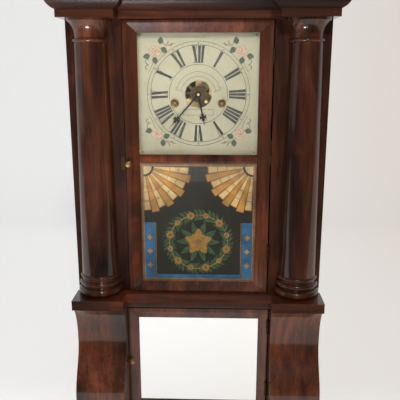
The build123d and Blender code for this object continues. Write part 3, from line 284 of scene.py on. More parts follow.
def mahogany(name, tones, grain, seed, light=1.0, gloss=1.0):
    """Varnished mahogany. Stretched noise along the grain gives the growth figure, finer noise the dark
    pores, wide noise the warm mottling; a clear coat lies over it and is slightly uneven."""
    wood = Finish(name)
    shift = (seed, seed * 1.7, seed * 0.6)
    figure = wood.noise(wood.place(drawn(grain, 0.16), shift), 13.0, detail=5.0, warp=1.4)
    streaks = wood.noise(wood.place(drawn(grain, 0.05), shift), 75.0, detail=4.0, rough=0.65, warp=0.3)
    pore = wood.noise(wood.place(drawn(grain, 0.03), shift), 420.0, detail=2.0)
    mottle = wood.noise(wood.place(move=shift), 6.5, rough=0.55, warp=0.8)
    # Painted light and shade: every tone made lighter or darker by the part's light factor
    dark, middle, pale, ember = (shade(c, light) for c in (tones.dark, tones.middle, tones.pale, tones.ember))
    color = wood.ramp(figure, (0.3, dark), (0.5, middle), (0.72, pale))
    color = wood.mix(wood.spread(mottle, 0.52, 0.74, 0.0, 0.75), color, ember)
    color = wood.mix(wood.spread(streaks, 0.42, 0.7, 0.0, 0.5), color, dark)
    color = wood.mix(wood.spread(pore, 0.56, 0.68, 0.0, 0.55), color, shade(dark, 0.45))
    rough = wood.spread(mottle, 0.3, 0.7, tones.roughness, tones.roughness + 0.12)
    waves = wood.noise(wood.place(move=shift), 17.0, detail=2.0, rough=0.5)
    normal = wood.bump(waves, 0.22, 0.0012)
    normal = wood.bump(pore, 0.16, 0.0002, normal)
    return wood.done(wood.surface(
        normal, Base_Color=color, Roughness=rough, Coat_Weight=tones.varnish * gloss,
        Coat_Roughness=0.07 + 0.3 * (1 - gloss), Coat_IOR=1.5, Specular_IOR_Level=0.15))


def softwood(name, color, seed, grain="Z"):
    """Bare old softwood: bands of late wood along the grain, knots of darker stain and a dry, rough face."""
    wood = Finish(name)
    scale = drawn(grain, 0.07)
    bands = wood.noise(wood.place(scale, (seed, seed, seed)), 38.0, detail=4.0, warp=0.5)
    fibre = wood.noise(wood.place(scale, (seed + 3, seed, seed)), 260.0)
    stain = wood.noise(wood.place(move=(seed, 0, seed)), 5.0, detail=4.0)
    tone = wood.ramp(bands, (0.34, shade(color, 0.55)), (0.5, color), (0.7, shade(color, 1.25)))
    tone = wood.mix(wood.spread(stain, 0.45, 0.75, 0.0, 0.6), tone, shade(color, 0.38))
    normal = wood.bump(fibre, 0.35, 0.0004)
    normal = wood.bump(bands, 0.25, 0.0006, normal)
    rough = wood.spread(fibre, 0.3, 0.7, 0.62, 0.85)
    return wood.done(wood.surface(normal, Base_Color=tone, Roughness=rough))


def metal(name, color, roughness, tarnish, seed, brushed):
    """Worked metal: fine scratches along one way, cloudy tarnish that darkens and dulls it."""
    made = Finish(name)
    scratches = made.noise(made.place(drawn(brushed, 0.04), (seed, seed, seed)), 900.0, detail=2.0)
    clouds = made.noise(made.place(move=(seed, 2 * seed, 0)), 55.0, detail=5.0, rough=0.65, warp=0.6)
    spots = made.noise(made.place(move=(0, seed, seed)), 420.0, detail=2.0, rough=0.5)
    tone = made.mix(made.spread(clouds, 0.42, 0.72, 0.0, tarnish), color, shade(color, 0.45))
    tone = made.mix(made.spread(spots, 0.62, 0.72, 0.0, tarnish), tone, shade(color, 0.25))
    rough = made.math("ADD", made.spread(clouds, 0.35, 0.7, roughness, roughness + 0.22),
                      made.spread(scratches, 0.4, 0.7, 0.0, 0.08))
    normal = made.bump(scratches, 0.08, 0.00005)
    return made.done(made.surface(normal, Base_Color=tone, Metallic=1.0, Roughness=rough))


def cast_iron(name, color):
    """Rough cast iron with a pitted skin and rust in the pits."""
    made = Finish(name)
    pits = made.node("ShaderNodeTexVoronoi", {"Vector": made.place(), "Scale": 240.0}).outputs["Distance"]
    grains = made.noise(made.place(), 420.0, rough=0.7)
    rust = made.noise(made.place(), 24.0, detail=4.0)
    tone = made.mix(made.spread(rust, 0.5, 0.75, 0.0, 0.6), color, (0.12, 0.045, 0.02))
    height = made.math("ADD", made.spread(pits, 0.0, 0.4), made.math("MULTIPLY", grains, 0.5))
    rough = made.spread(grains, 0.3, 0.7, 0.5, 0.75)
    return made.done(made.surface(made.bump(height, 0.5, 0.0004), Base_Color=tone, Metallic=0.6,
                                  Roughness=rough))


def twisted_cord(name, color):
    """Laid cord: dark and light bands run round it on the slant, under a fuzzy skin."""
    made = Finish(name)
    twist = made.node("ShaderNodeTexWave", {"Vector": made.place(), "Scale": 420.0, "Distortion": 1.0},
                      wave_type="BANDS", bands_direction="DIAGONAL")
    fuzz = made.noise(made.place(), 900.0, detail=2.0)
    tone = made.mix(twist.outputs["Fac"], shade(color, 0.5), color)
    return made.done(made.surface(made.bump(fuzz, 0.3, 0.0002), Base_Color=tone, Roughness=0.9))


def pane_glass(name, tone):
    """Clear old pane with faint ripples; light passes it without a shadow."""
    made = Finish(name)
    ripple = made.noise(made.place((1, 1, 0.4)), 9.0, detail=2.0, rough=0.4)
    clear = made.surface(made.bump(ripple, 0.05, 0.0005), Base_Color=rgba(tone), Roughness=0.0, IOR=1.45,
                         Transmission_Weight=1.0)
    through = made.node("ShaderNodeBsdfTransparent", {"Color": (0.95, 0.96, 0.95, 1)})
    shadow = made.node("ShaderNodeLightPath", {}).outputs["Is Shadow Ray"]
    return made.done(made.join(shadow, clear, through.outputs[0]))


def mirror_silver(name, color):
    """Old mirror: bright silvering with a few dark spots, slight haze and ripples."""
    made = Finish(name)
    spots = made.noise(made.place(), 160.0, rough=0.7)
    haze = made.noise(made.place(), 7.0)
    ripple = made.noise(made.place(), 4.0, detail=2.0, rough=0.4)
    silver = made.mix(made.spread(spots, 0.68, 0.76, 0.0, 0.7), color, (0.16, 0.14, 0.12))
    rough = made.spread(haze, 0.35, 0.7, 0.02, 0.07)
    return made.done(made.surface(made.bump(ripple, 0.04, 0.0008), Base_Color=silver, Metallic=1.0,
                                  Roughness=rough))


def paint(name, color, variation=0.3, roughness=0.5, wear=0.0, ground=(0, 0, 0), scale=60.0):
    """Hand-laid paint: uneven density, fine brush grain, and worn spots where the ground shows."""
    made = Finish(name)
    density = made.noise(made.place(), scale, detail=4.0, warp=0.4)
    grain = made.noise(made.place(), 700.0, detail=2.0)
    tone = made.ramp(density, (0.3, shade(color, 1 - variation)), (0.7, shade(color, 1 + variation)))
    if wear:
        tone = made.mix(made.spread(grain, 0.62, 0.7, 0.0, wear), tone, ground)
    normal = made.bump(grain, 0.1, 0.00005)
    return made.done(made.surface(normal, Base_Color=tone, Roughness=roughness))


def aged_ground(name, dial):
    """Cream paint with wide stains, finer clouds and dark specks."""
    made = Finish(name)
    age = made.noise(made.place(), 14.0, detail=5.0, warp=0.5)
    fine = made.noise(made.place(), 180.0, detail=4.0, rough=0.65)
    specks = made.noise(made.place(), 520.0, detail=2.0, rough=0.5)
    tone = made.mix(made.spread(age, 0.45, 0.75, 0.0, 0.55), dial.ground, dial.stain)
    tone = made.mix(made.spread(fine, 0.55, 0.75, 0.0, 0.3), tone, shade(dial.stain, 0.8))
    tone = made.mix(made.spread(specks, 0.7, 0.76, 0.0, 0.5), tone, (0.12, 0.1, 0.07))
    return made.done(made.surface(made.bump(fine, 0.1, 0.0001), Base_Color=tone, Roughness=0.55))


# Surfaces worked out with numpy
def quads(rows, columns, start=0):
    """Index quads of a grid of points, row by row."""
    index = np.arange(rows * columns).reshape(rows, columns) + start
    return np.stack([index[:-1, :-1], index[1:, :-1], index[1:, 1:], index[:-1, 1:]], -1).reshape(-1, 4)


def new_object(name, points, faces, material):
    """Smooth object with one material, put in the scene."""
    mesh = bpy.data.meshes.new(name)
    mesh.from_pydata(points.tolist(), [], faces.tolist())
    mesh.shade_smooth()
    mesh.materials.append(material)
    made = bpy.data.objects.new(name, mesh)
    bpy.context.scene.collection.objects.link(made)
    return made


def grid_piece(name, grids, body, material):
    """One object from several grids of points, each (rows, columns, 3), riding on a body."""
    sizes = [grid.shape[0] * grid.shape[1] for grid in grids]
    starts = np.cumsum([0, *sizes[:-1]])
    points = np.concatenate([grid.reshape(-1, 3) for grid in grids])
    faces = np.concatenate([quads(*grid.shape[:2], start) for grid, start in zip(grids, starts)])
    made = new_object(name, points, faces, material)
    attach(made, body)
    return made


def polar(x, z, radius, angle):
    """Point at x + radius * cos(angle), z + radius * sin(angle)."""
    return x + radius * np.cos(angle), z + radius * np.sin(angle)


def flat(x, z, y):
    """Points in a plane of constant Y from arrays of x and z; rows run so that the faces look forward."""
    x, z = np.broadcast_arrays(np.asarray(x, float), np.asarray(z, float))
    return np.stack([x, np.full(x.shape, float(y)), z], -1)


def placed(along, across, x, z, turn, y):
    """Flat points turned by an angle about their start and moved to x, z."""
    c, s = math.cos(turn), math.sin(turn)
    return flat(x + c * along - s * across, z + s * along + c * across, y)


def box(x, z, half_width, half_height, y):
    """Flat rectangle about a middle."""
    return flat([[x - half_width] * 2, [x + half_width] * 2], [[z - half_height, z + half_height]] * 2, y)


def strip(path, width, y):
    """Flat ribbon along a path of (x, z) points: each point moved half a width to both sides of the path."""
    path = np.asarray(path, float)
    width = np.broadcast_to(np.asarray(width, float), len(path))
    along = np.gradient(path, axis=0)
    along /= np.maximum(np.linalg.norm(along, axis=1), 1e-9)[:, None]
    side = np.stack([-along[:, 1], along[:, 0]], 1) * width[:, None] / 2
    both = np.stack([path - side, path + side], 1)
    return flat(both[..., 0], both[..., 1], y)


def disc(x, z, radius, y, wave=0.0, lobes=5, turn=0.0, columns=33):
    """Flat disc whose edge radius is radius * (1 + wave * cos(lobes * angle)), as a fan of three rings."""
    angle = np.linspace(0, 2 * math.pi, columns)[None, :]
    reach = radius * np.linspace(0.02, 1, 3)[:, None] * (1 + wave * np.cos(lobes * angle))
    return placed(reach * np.cos(angle), reach * np.sin(angle), x, z, turn, y)


def ring(x, z, inner, outer, y, start=0.0, end=2 * math.pi, columns=97):
    """Flat ring between two radii, from a start angle to an end angle."""
    angle = np.linspace(start, end, columns)[None, :]
    return flat(*polar(x, z, np.array([inner, outer])[:, None], angle), y)


def leaf(x, z, length, width, turn, y):
    """Flat leaf: half width is width * sin(pi * t) ** 0.8 * (1 - 0.35 t) / 2 along its length t."""
    t = np.linspace(0, 1, 9)[:, None]
    half = width * np.sin(math.pi * np.clip(t, 0.001, 0.999)) ** 0.8 * (1 - 0.35 * t) / 2
    return placed(t * length * np.ones(2), half * np.array([-1, 1]), x, z, turn, y)


def lathe(profile, center, axis, columns=49):
    """Surface of turning: a profile of (radius, distance along the axis) carried round the axis."""
    profile = np.asarray(profile, float)
    angle = np.linspace(0, 2 * math.pi, columns)[None, :]
    radius, along = profile[:, :1], np.broadcast_to(profile[:, 1:], (len(profile), columns))
    first, second = radius * np.cos(angle), radius * np.sin(angle)
    order = {"Y": (first, along, second), "Z": (first, second, along)}[axis]
    return np.stack(order, -1) + np.asarray(center, float)


def curl(x, z, size, turns, turn, y, width, flip=1):
    """Flat tendril: a spiral whose radius falls from size to a tenth, thinning towards its end."""
    t = np.linspace(0, 1, 24)
    path = polar(*polar(x, z, -size, turn), size * (1 - 0.9 * t), turn + flip * t * turns * 2 * math.pi)
    return strip(np.stack(path, 1), width * (1 - 0.6 * t), y)


def stroke(start, end, width_start, width_end, y):
    """Straight flat stroke between two points, as wide as given at each end."""
    t = np.linspace(0, 1, 5)[:, None]
    path = np.asarray(start) * (1 - t) + np.asarray(end) * t
    width = (width_start * (1 - t) + width_end * t)[:, 0]
    return strip(path, width, y)


# Sizes and colours
def tint(name, color, note):
    """Colour property."""
    return bpy.props.FloatVectorProperty(name=name, description=note, subtype="COLOR", size=3, min=0, max=1,
                                         default=color)


def length(name, size, note):
    """Length property."""
    return bpy.props.FloatProperty(name=name, description=note, default=size, min=0, unit="LENGTH")


def share(name, value, note):
    """Plain factor."""
    return bpy.props.FloatProperty(name=name, description=note, default=value, min=0)


class ClockWood(bpy.types.PropertyGroup):
    """Tones and varnish of the wood"""
    dark: tint("Dark wood", (0.011, 0.0036, 0.002), "Deepest tone of the varnished figure")
    middle: tint("Middle wood", (0.062, 0.0165, 0.0062), "Usual tone of the varnished wood")
    pale: tint("Pale wood", (0.16, 0.048, 0.02), "Lightest tone of the figure")
    ember: tint("Warm wood", (0.18, 0.037, 0.009), "Orange tone of the mottled patches")
    pine: tint("Bare pine", (0.3, 0.185, 0.09), "Unfinished wood inside and at the back")
    roughness: share("Roughness", 0.34, "Roughness of the wood under its varnish")
    varnish: share("Varnish", 0.8, "Weight of the clear coat")


class ClockDial(bpy.types.PropertyGroup):
    """Colours and radii of the dial"""
    ground: tint("Dial ground", (0.325, 0.3, 0.208), "Cream paint of the dial")
    stain: tint("Dial stain", (0.22, 0.195, 0.115), "Aged areas of the dial")
    ink: tint("Ink", (0.022, 0.02, 0.019), "Paint of numerals and rings")
    outer: length("Minute ring", 0.0868, "Radius of the outer minute circle")
    second: length("Second ring", 0.0811, "Radius of the second minute circle")
    numeral_outer: length("Numeral top", 0.0795, "Outer radius of the numerals")
    numeral_inner: length("Numeral foot", 0.0522, "Inner radius of the numerals")
    chapter: length("Chapter ring", 0.0494, "Radius of the inner chapter circle")
    thick: length("Thick stroke", 0.0048, "Width of a numeral's thick stroke")
    thin: length("Thin stroke", 0.0007, "Width of a numeral's thin stroke")


class ClockFlowers(bpy.types.PropertyGroup):
    """Colours of the dial's corner bouquets"""
    petal: tint("Petals", (0.44, 0.3, 0.22), "Pale pink of the roses")
    heart: tint("Rose heart", (0.32, 0.12, 0.09), "Dark middle of the roses")
    leaves: tint("Leaves", (0.04, 0.055, 0.03), "Green of the leaves")
    line: tint("Outline", (0.09, 0.05, 0.03), "Brown of stems and scrolls")


class ClockTablet(bpy.types.PropertyGroup):
    """Colours of the tablet's painting"""
    field: tint("Field", (0.009, 0.0072, 0.0024), "Dark middle of the tablet")
    ochre: tint("Ochre", (0.33, 0.17, 0.031), "Yellow ochre of fans and rosettes")
    cream: tint("Cream", (0.41, 0.31, 0.14), "Cream of the fans")
    ribs: tint("Ribs", (0.3, 0.1, 0.03), "Russet ribs and bands of the fans")
    brown: tint("Brown", (0.15, 0.07, 0.03), "Brown border")
    green: tint("Green", (0.035, 0.07, 0.028), "Green of the wreath")
    blue: tint("Blue", (0.02, 0.09, 0.2), "Blue of the side panels")


class ClockMetal(bpy.types.PropertyGroup):
    """Colours of metals, cords and mirror"""
    brass: tint("Brass", (0.68, 0.5, 0.24), "Wheels, plates and bob")
    trim: tint("Old brass", (0.4, 0.26, 0.1), "Knobs, hinges and catch plate")
    steel: tint("Steel", (0.2, 0.19, 0.18), "Arbors and wires")
    hands: tint("Blackened steel", (0.02, 0.018, 0.018), "Hands")
    iron: tint("Cast iron", (0.05, 0.046, 0.044), "Weights")
    cord: tint("Cord", (0.24, 0.19, 0.12), "Weight cords")
    silver: tint("Mirror", (0.95, 0.955, 0.95), "Silvering of the mirror")


class ClockStage(bpy.types.PropertyGroup):
    """Colours and lights of the stage"""
    floor: tint("Floor", (0.86, 0.855, 0.84), "Pale floor")
    glow: share("Floor glow", 0.37, "Light the pale floor gives off by itself, before it darkens in front")
    # Painted shade: the floor and wall turn darker and warmer towards the right
    warm_shade: tint("Warm floor", (0.74, 0.69, 0.63), "Floor and wall towards the right")
    backdrop: tint("Backdrop", (0.83, 0.81, 0.77), "Pale wall seen by the camera")
    room: share("Room light", 0.46, "Strength of the even room light")
    key: share("Key light", 9.0, "Power of the soft light over the camera, in watts")
    side: share("Side light", 1.8, "Power of the soft light from the left, in watts")
    low: share("Low card", 0.66, "Power of the low card before the clock, in watts")


# Case, doors, metalwork and cords
FINISHES = {}


def finish(name, make, *values, **named):
    """Material of this name, made once."""
    if name not in FINISHES:
        FINISHES[name] = make(name, *values, **named)
    return FINISHES[name]


def cover(material, *nodes):
    """Puts a material on whole nodes."""
    for name in nodes:
        mesh = NODES[name].data
        mesh.materials.clear()
        mesh.materials.append(material)


class CLOCK_OT_case(bpy.types.Operator):
    """Varnished mahogany on the case's faces, bare pine inside and at the back"""
    bl_idname = "clock.case"
    bl_label = "Case"

    def execute(self, context):
        wood = context.scene.clock_wood
        for name, (*look, nodes) in MAHOGANY.items():
            cover(finish(name, mahogany, wood, *look), *nodes)
        cover(finish("pine", softwood, wood.pine, 2.0), *PINE_NODES)
        return {"FINISHED"}


class CLOCK_OT_doors(bpy.types.Operator):
    """Door frames, clear panes, silvered mirror and its backing"""
    bl_idname = "clock.doors"
    bl_label = "Doors"

    def execute(self, context):
        wood, metals = context.scene.clock_wood, context.scene.clock_metal
        cover(finish("mahogany_door", mahogany, wood, *DOOR_MAHOGANY), "upper_door_frame", "lower_door_frame")
        cover(finish("clear_glass", pane_glass, (0.97, 0.985, 0.97)), "dial_glass", "tablet_glass")
        cover(finish("backing_pine", softwood, shade(wood.pine, 0.8), 6.0), "mirror_backing")
        cover(finish("mirror", mirror_silver, metals.silver), "mirror_glass")
        return {"FINISHED"}


class CLOCK_OT_metalwork(bpy.types.Operator):
    """Brass, steel and iron of movement, pendulum, weights, hinges and knobs; wooden pulleys; cords"""
    bl_idname = "clock.metalwork"
    bl_label = "Metalwork"

    def execute(self, context):
        wood, metals = context.scene.clock_wood, context.scene.clock_metal
        # Each metal's colour, roughness, tarnish, seed and the way it was brushed
        looks = {
            "brass": (shade(metals.brass, 1.25), 0.5, 0.35, 1.0, "Z"),
            "brass_wheels": (shade(metals.brass, 0.95), 0.26, 0.3, 5.0, "X"),
            # Motion wheels: tarnish, and painted shade for the shadow they sit in behind the dial
            "brass_dull": (shade(metals.brass, 0.13), 0.42, 0.8, 6.0, "X"),
            "brass_trim": (metals.trim, 0.34, 0.7, 8.0, "X"),
            "old_hinge": (shade(metals.trim, 0.22), 0.48, 0.8, 9.0, "Z"),
            "steel": (metals.steel, 0.32, 0.5, 3.0, "Y"),
            "hand_steel": (metals.hands, 0.38, 0.4, 4.0, "Z"),
        }
        for name, nodes in METAL_NODES.items():
            cover(finish(name, metal, *looks[name]), *nodes)
        cover(finish("iron", cast_iron, metals.iron), "time_weight", "strike_weight")
        cover(finish("pulley_wood", softwood, shade(wood.pine, 0.6), 11.0, "Y"), *PULLEY_NODES)
        cover(finish("cord", twisted_cord, metals.cord), *CORD_NODES)
        for name in ROUND_NODES:
            mesh = NODES[name].data
            mesh.shade_smooth()
            mesh.set_sharp_from_angle(angle=math.radians(SHARP_ANGLE))
        return {"FINISHED"}


class CLOCK_OT_cords(bpy.types.Operator):
    """Weight cords as smooth round tubes in place of the hanging cords' solids"""
    bl_idname = "clock.cords"
    bl_label = "Cords"

    def execute(self, context):
        for side in ("time", "strike"):
            low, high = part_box(side + "_hanging_cord")
            x, y, radius = (low.x + high.x) / 2, (low.y + high.y) / 2, (high.x - low.x) / 2
            heights = np.linspace(high.z, low.z, 81)
            profile = [(0.0, high.z), *[(radius, z) for z in heights], (0.0, low.z)]
            grid = lathe(profile, (x, y, 0), "Z", 17)
            made = new_object(side + "_cord", grid.reshape(-1, 3), quads(*grid.shape[:2]), FINISHES["cord"])
            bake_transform(made)
            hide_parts(side + "_hanging_cord")
        return {"FINISHED"}


# Painted dial
def numeral(text, hour, sizes, y):
    """Strokes of one Roman numeral that stands on the inner circle and points away from the middle.
    It narrows towards its foot, as the circle does."""
    angle = math.radians(90 - 30 * hour)
    out = np.array([math.cos(angle), math.sin(angle)])
    side = np.array([out[1], -out[0]])

    def spot(x, at_head):
        """Point x thick strokes from the numeral's middle line, at its head or its foot."""
        radius, squeeze = (sizes.numeral_outer, 1.0) if at_head else (sizes.numeral_inner, FOOT_SQUEEZE)
        return (0.0, CENTER_Z) + side * x * sizes.thick * squeeze + out * radius

    grids = []
    cursor = -(sum(LETTERS[letter][0] + LETTER_GAP for letter in text) - LETTER_GAP) / 2
    for letter in text:
        room, lines, ends = LETTERS[letter]
        for head, foot, is_thick in lines:
            width = sizes.thick if is_thick else sizes.thin * UP_STROKE
            grids.append(stroke(spot(cursor + head, True), spot(cursor + foot, False), width,
                                width * FOOT_TAPER, y))
        for x, at_head, wide in ends:
            grids.append(stroke(spot(cursor + x - wide / 2, at_head), spot(cursor + x + wide / 2, at_head),
                                sizes.thin, sizes.thin, y))
        cursor += room + LETTER_GAP
    return grids


def minute_track(dial, y):
    """Two minute circles with a dot for each minute between them, and the inner chapter circle."""
    grids = [ring(0, CENTER_Z, radius - RING_HALF, radius + RING_HALF, y)
             for radius in (dial.outer, dial.second, dial.chapter)]
    for minute in range(60):
        x, z = polar(0, CENTER_Z, (dial.outer + dial.second) / 2, math.radians(6 * minute))
        grids.append(disc(x, z, MINUTE_DOT if minute % 5 else HOUR_DOT, y, columns=13))
    return grids


def empty_frames(y):
    """Lines of two bare frames: an arched scroll above the centre and a rectangle below it."""
    grids = [ring(0, CENTER_Z, radius - FRAME_LINE / 2, radius + FRAME_LINE / 2, y, ARCH_RISE,
                  math.pi - ARCH_RISE, 61) for radius in ARCH_RADII]
    for side in (-1, 1):
        ends = [(side * radius * math.cos(ARCH_RISE), CENTER_Z + radius * math.sin(ARCH_RISE))
                for radius in ARCH_ENDS]
        grids.append(stroke(*ends, FRAME_LINE, FRAME_LINE, y))
        for x, z in ((0.0382, 0.0105), (0.0287, 0.0035)):
            grids.append(curl(side * x, CENTER_Z + z, 0.0016, 0.8, 0.0 if side > 0 else math.pi, y, 0.0007,
                              side))
    corners = [(-FRAME_HALF, CENTER_Z + FRAME_TOP), (FRAME_HALF, CENTER_Z + FRAME_TOP),
               (FRAME_HALF, CENTER_Z + FRAME_FOOT), (-FRAME_HALF, CENTER_Z + FRAME_FOOT)]
    for start, end in zip(corners, corners[1:] + corners[:1]):
        grids.append(stroke(start, end, FRAME_LINE, FRAME_LINE, y))
    return grids


def rose(x, z, size, turn, y, paints):
    """Rose: lobed discs, each smaller and turned against the one below, with their outlines, a dark heart
    and curved petal lines."""
    top = y - 2 * PETAL_STEP
    angle = np.linspace(0, 2 * math.pi, 49)
    for level, (reach, wave, lobes, extra) in enumerate(ROSE_DISCS):
        paints["petals"].append(disc(x, z, size * reach, y - level * PETAL_STEP, wave, lobes, turn + extra))
        edge = size * reach * (1 + wave * np.cos(lobes * angle))
        paints["lines"].append(strip(np.stack(polar(x, z, edge, angle + turn + extra), 1), size * 0.055, top))
    paints["hearts"].append(disc(x, z, size * 0.2, top, 0.12, 3, turn + 1.1))
    for start in turn + np.arange(5) * 2 * math.pi / 5:
        paints["lines"].append(curl(*polar(x, z, size * 0.62, start), size * 0.42, 0.32, start, top,
                                    size * 0.09))


def corner(side, up, paints):
    """Corner bouquet: one rose, four leaves, tendrils and two stems; side and up give its corner's signs."""
    y = DIAL_FACE - LEAF_LIFT

    def at(x, z):
        return side * x, CENTER_Z + up * z

    def mirrored(turn):
        return up * (turn if side > 0 else math.pi - turn)

    for x, z, turn in UPPER_LEAVES if up > 0 else LOWER_LEAVES:
        paints["leaves"].append(leaf(*at(x, z), LEAF_LENGTH, LEAF_WIDTH, mirrored(turn), y))
    for x, z, turn, size in TENDRILS:
        paints["lines"].append(curl(*at(x, z), size, TENDRIL_TURNS, mirrored(turn), y, TENDRIL_LINE,
                                    side * up))
    t = np.linspace(0, 1, 12)
    down = at(0.0735 + 0.011 * t ** 2, 0.066 - 0.03 * t)
    inward = at(0.068 - 0.029 * t, 0.073 + 0.0135 * t - 0.003 * t ** 2)
    for stem in (down, inward):
        paints["lines"].append(strip(np.stack(stem, 1), STEM_LINE, y))
    rose(*at(ROSE_X, ROSE_UPPER_Z if up > 0 else ROSE_LOWER_Z), ROSE_SIZE, 0.4 + side, DIAL_FACE - ROSE_LIFT,
         paints)


class CLOCK_OT_dial(bpy.types.Operator):
    """Painted dial: ground, rings, numerals, dots, corner bouquets, empty frames and winding grommets"""
    bl_idname = "clock.dial"
    bl_label = "Dial"

    def execute(self, context):
        dial, flowers = context.scene.clock_dial, context.scene.clock_flowers
        cover(finish("dial_paint", aged_ground, dial), "dial_board")
        ink = finish("dial_ink", paint, dial.ink, roughness=0.45, wear=0.5, ground=dial.ground)
        grid_piece("dial_rings", minute_track(dial, DIAL_FACE - RING_LIFT), "case", ink)
        strokes = [grid for hour, text in enumerate(HOURS)
                   for grid in numeral(text, hour, dial, DIAL_FACE - NUMERAL_LIFT)]
        grid_piece("dial_numerals", strokes, "case", ink)
        paints = {"petals": [], "hearts": [], "lines": empty_frames(DIAL_FACE - RING_LIFT), "leaves": []}
        for side in (-1, 1):
            for up in (1, -1):
                corner(side, up, paints)
        for kind, name, color, looks in (
                ("petals", "petal_paint", flowers.petal, {"scale": 260.0}),
                ("hearts", "heart_paint", flowers.heart, {}),
                ("lines", "line_paint", flowers.line, {}),
                ("leaves", "leaf_paint", flowers.leaves, {"variation": 0.45, "scale": 260.0})):
            material = finish(name, paint, color, **looks)
            grid_piece("dial_" + kind, paints[kind], "case", material)
        grommets = [lathe(GROMMET, (side * WINDING.x, DIAL_FACE, WINDING.z), "Y", 41) for side in (-1, 1)]
        grid_piece("winding_grommets", grommets, "case", FINISHES["brass_trim"])
        pins = [lathe(PIN, (side * PIN_X, DIAL_FACE, CENTER_Z + z), "Y", 17)
                for z in PIN_HEIGHTS for side in (-1, 1)]
        grid_piece("dial_pins", pins, "case", FINISHES["steel"])
        return {"FINISHED"}


# Painted tablet
def behind(layer):
    """Depth of a layer of paint; a smaller number lies closer to the glass."""
    return TABLET_HIGH.y + LAYER_GAP + LAYER_STEP * layer


def fan(side, fans, pales, ribs):
    """Corner fan: ring sectors round a hub in two colours by turns, with ribs, scalloped rim and bands."""
    x, z = side * (HALF_WIDTH - FAN_INSET), TABLET_MIDDLE + HALF_HEIGHT - FAN_INSET
    start = math.pi if side > 0 else 1.5 * math.pi
    end = start + math.pi / 2
    for number in range(FAN_BLADES):
        edges = [start + math.pi / 2 * (number + part) / FAN_BLADES for part in (0.0, BLADE_SHARE)]
        reach = FAN_REACH + FAN_SCALLOP * (number % 2)
        blades = fans if number % 2 else pales
        blades.append(ring(x, z, FAN_HUB, reach, behind(3), *edges, 9))
        ribs.append(ring(x, z, reach - RIB_RIM, reach, behind(2), *edges, 9))
        for turn in edges:
            ribs.append(stroke(polar(x, z, FAN_HUB, turn), polar(x, z, reach, turn), RIB_HUB_WIDTH,
                               RIB_EDGE_WIDTH, behind(2)))
    pales.append(ring(x, z, 0.0, FAN_EYE, behind(3), start, end, 17))
    for radius in FAN_BANDS:
        ribs.append(ring(x, z, radius - FAN_BAND_HALF, radius + FAN_BAND_HALF, behind(2), start, end, 33))


def borders(rim, lines, blues):
    """Rim round the painting, a line inside it, blue panels with stars at both sides and a blue foot."""
    panel_z, panel_half = TABLET_MIDDLE - PANEL_DROP, HALF_HEIGHT - PANEL_CUT
    for side in (-1, 1):
        rim.append(box(side * (HALF_WIDTH - RIM_HALF), TABLET_MIDDLE, RIM_HALF, HALF_HEIGHT, behind(4)))
        rim.append(box(0, TABLET_MIDDLE + side * (HALF_HEIGHT - RIM_HALF), HALF_WIDTH, RIM_HALF, behind(5)))
        lines.append(box(side * (HALF_WIDTH - BORDER_INSET), TABLET_MIDDLE, BORDER_HALF,
                         HALF_HEIGHT - BORDER_INSET, behind(2)))
        lines.append(box(0, TABLET_MIDDLE + side * (HALF_HEIGHT - BORDER_INSET), HALF_WIDTH - BORDER_INSET,
                         BORDER_HALF, behind(1)))
        lines.append(box(side * (HALF_WIDTH - PANEL_LINE_INSET), panel_z, PANEL_LINE_HALF, panel_half,
                         behind(2)))
        blues.append(box(side * (HALF_WIDTH - PANEL_INSET), panel_z, PANEL_HALF, panel_half, behind(4)))
        for number in range(PANEL_STARS):
            z = TABLET_MIDDLE - STAR_DROP + STAR_STEP * number
            lines.append(disc(side * (HALF_WIDTH - PANEL_INSET), z, STAR_SIZE, behind(2), 0.25, 4))
    blues.append(box(0, TABLET_MIDDLE - HALF_HEIGHT + FOOT_RISE, HALF_WIDTH - FOOT_CUT, FOOT_HALF, behind(4)))


def on_wreath(angle):
    """Point of the wreath's oval: x is wide * cos, z is tall * sin of the angle."""
    return WREATH_WIDE * np.cos(angle), TABLET_MIDDLE - WREATH_DROP + WREATH_TALL * np.sin(angle)


def wreath(leaves, flowers, buds):
    """Oval wreath of paired leaves with small flowers, round a star of five petals and their leaves."""
    for number in range(WREATH_LEAVES):
        angle = 2 * math.pi * number / WREATH_LEAVES
        along = math.atan2(WREATH_TALL * math.cos(angle), -WREATH_WIDE * math.sin(angle))
        for side in (-1, 1):
            leaves.append(leaf(*on_wreath(angle), 0.0145, 0.0058, along + side * (0.75 + 0.12 * (number % 3)),
                               behind(2 + 0.3 * (number % 2))))
    for number in range(WREATH_FLOWERS):
        angle = 2 * math.pi * (number + 0.5) / WREATH_FLOWERS
        size = 0.0066 if number % 2 else 0.0048
        flowers.append(disc(*on_wreath(angle), size, behind(0.6), 0.16, 6, angle))
        buds.append(disc(*on_wreath(angle), size * 0.4, behind(0.2), 0.1, 5, angle))
    middle = (0, TABLET_MIDDLE - WREATH_DROP)
    for turn in 0.3 + np.arange(5) * 2 * math.pi / 5:
        flowers.append(leaf(*polar(*middle, 0.004, turn), 0.0215, 0.0165, turn, behind(0.8)))
        flowers.append(leaf(*polar(*middle, 0.003, turn + 0.63), 0.015, 0.011, turn + 0.63, behind(0.5)))
        for way in (turn + 0.3, turn + 0.95):
            leaves.append(leaf(*polar(*middle, 0.008, way), 0.031, 0.0125, way, behind(2)))
    buds.append(disc(*middle, 0.0058, behind(0.2), 0.08, 8))


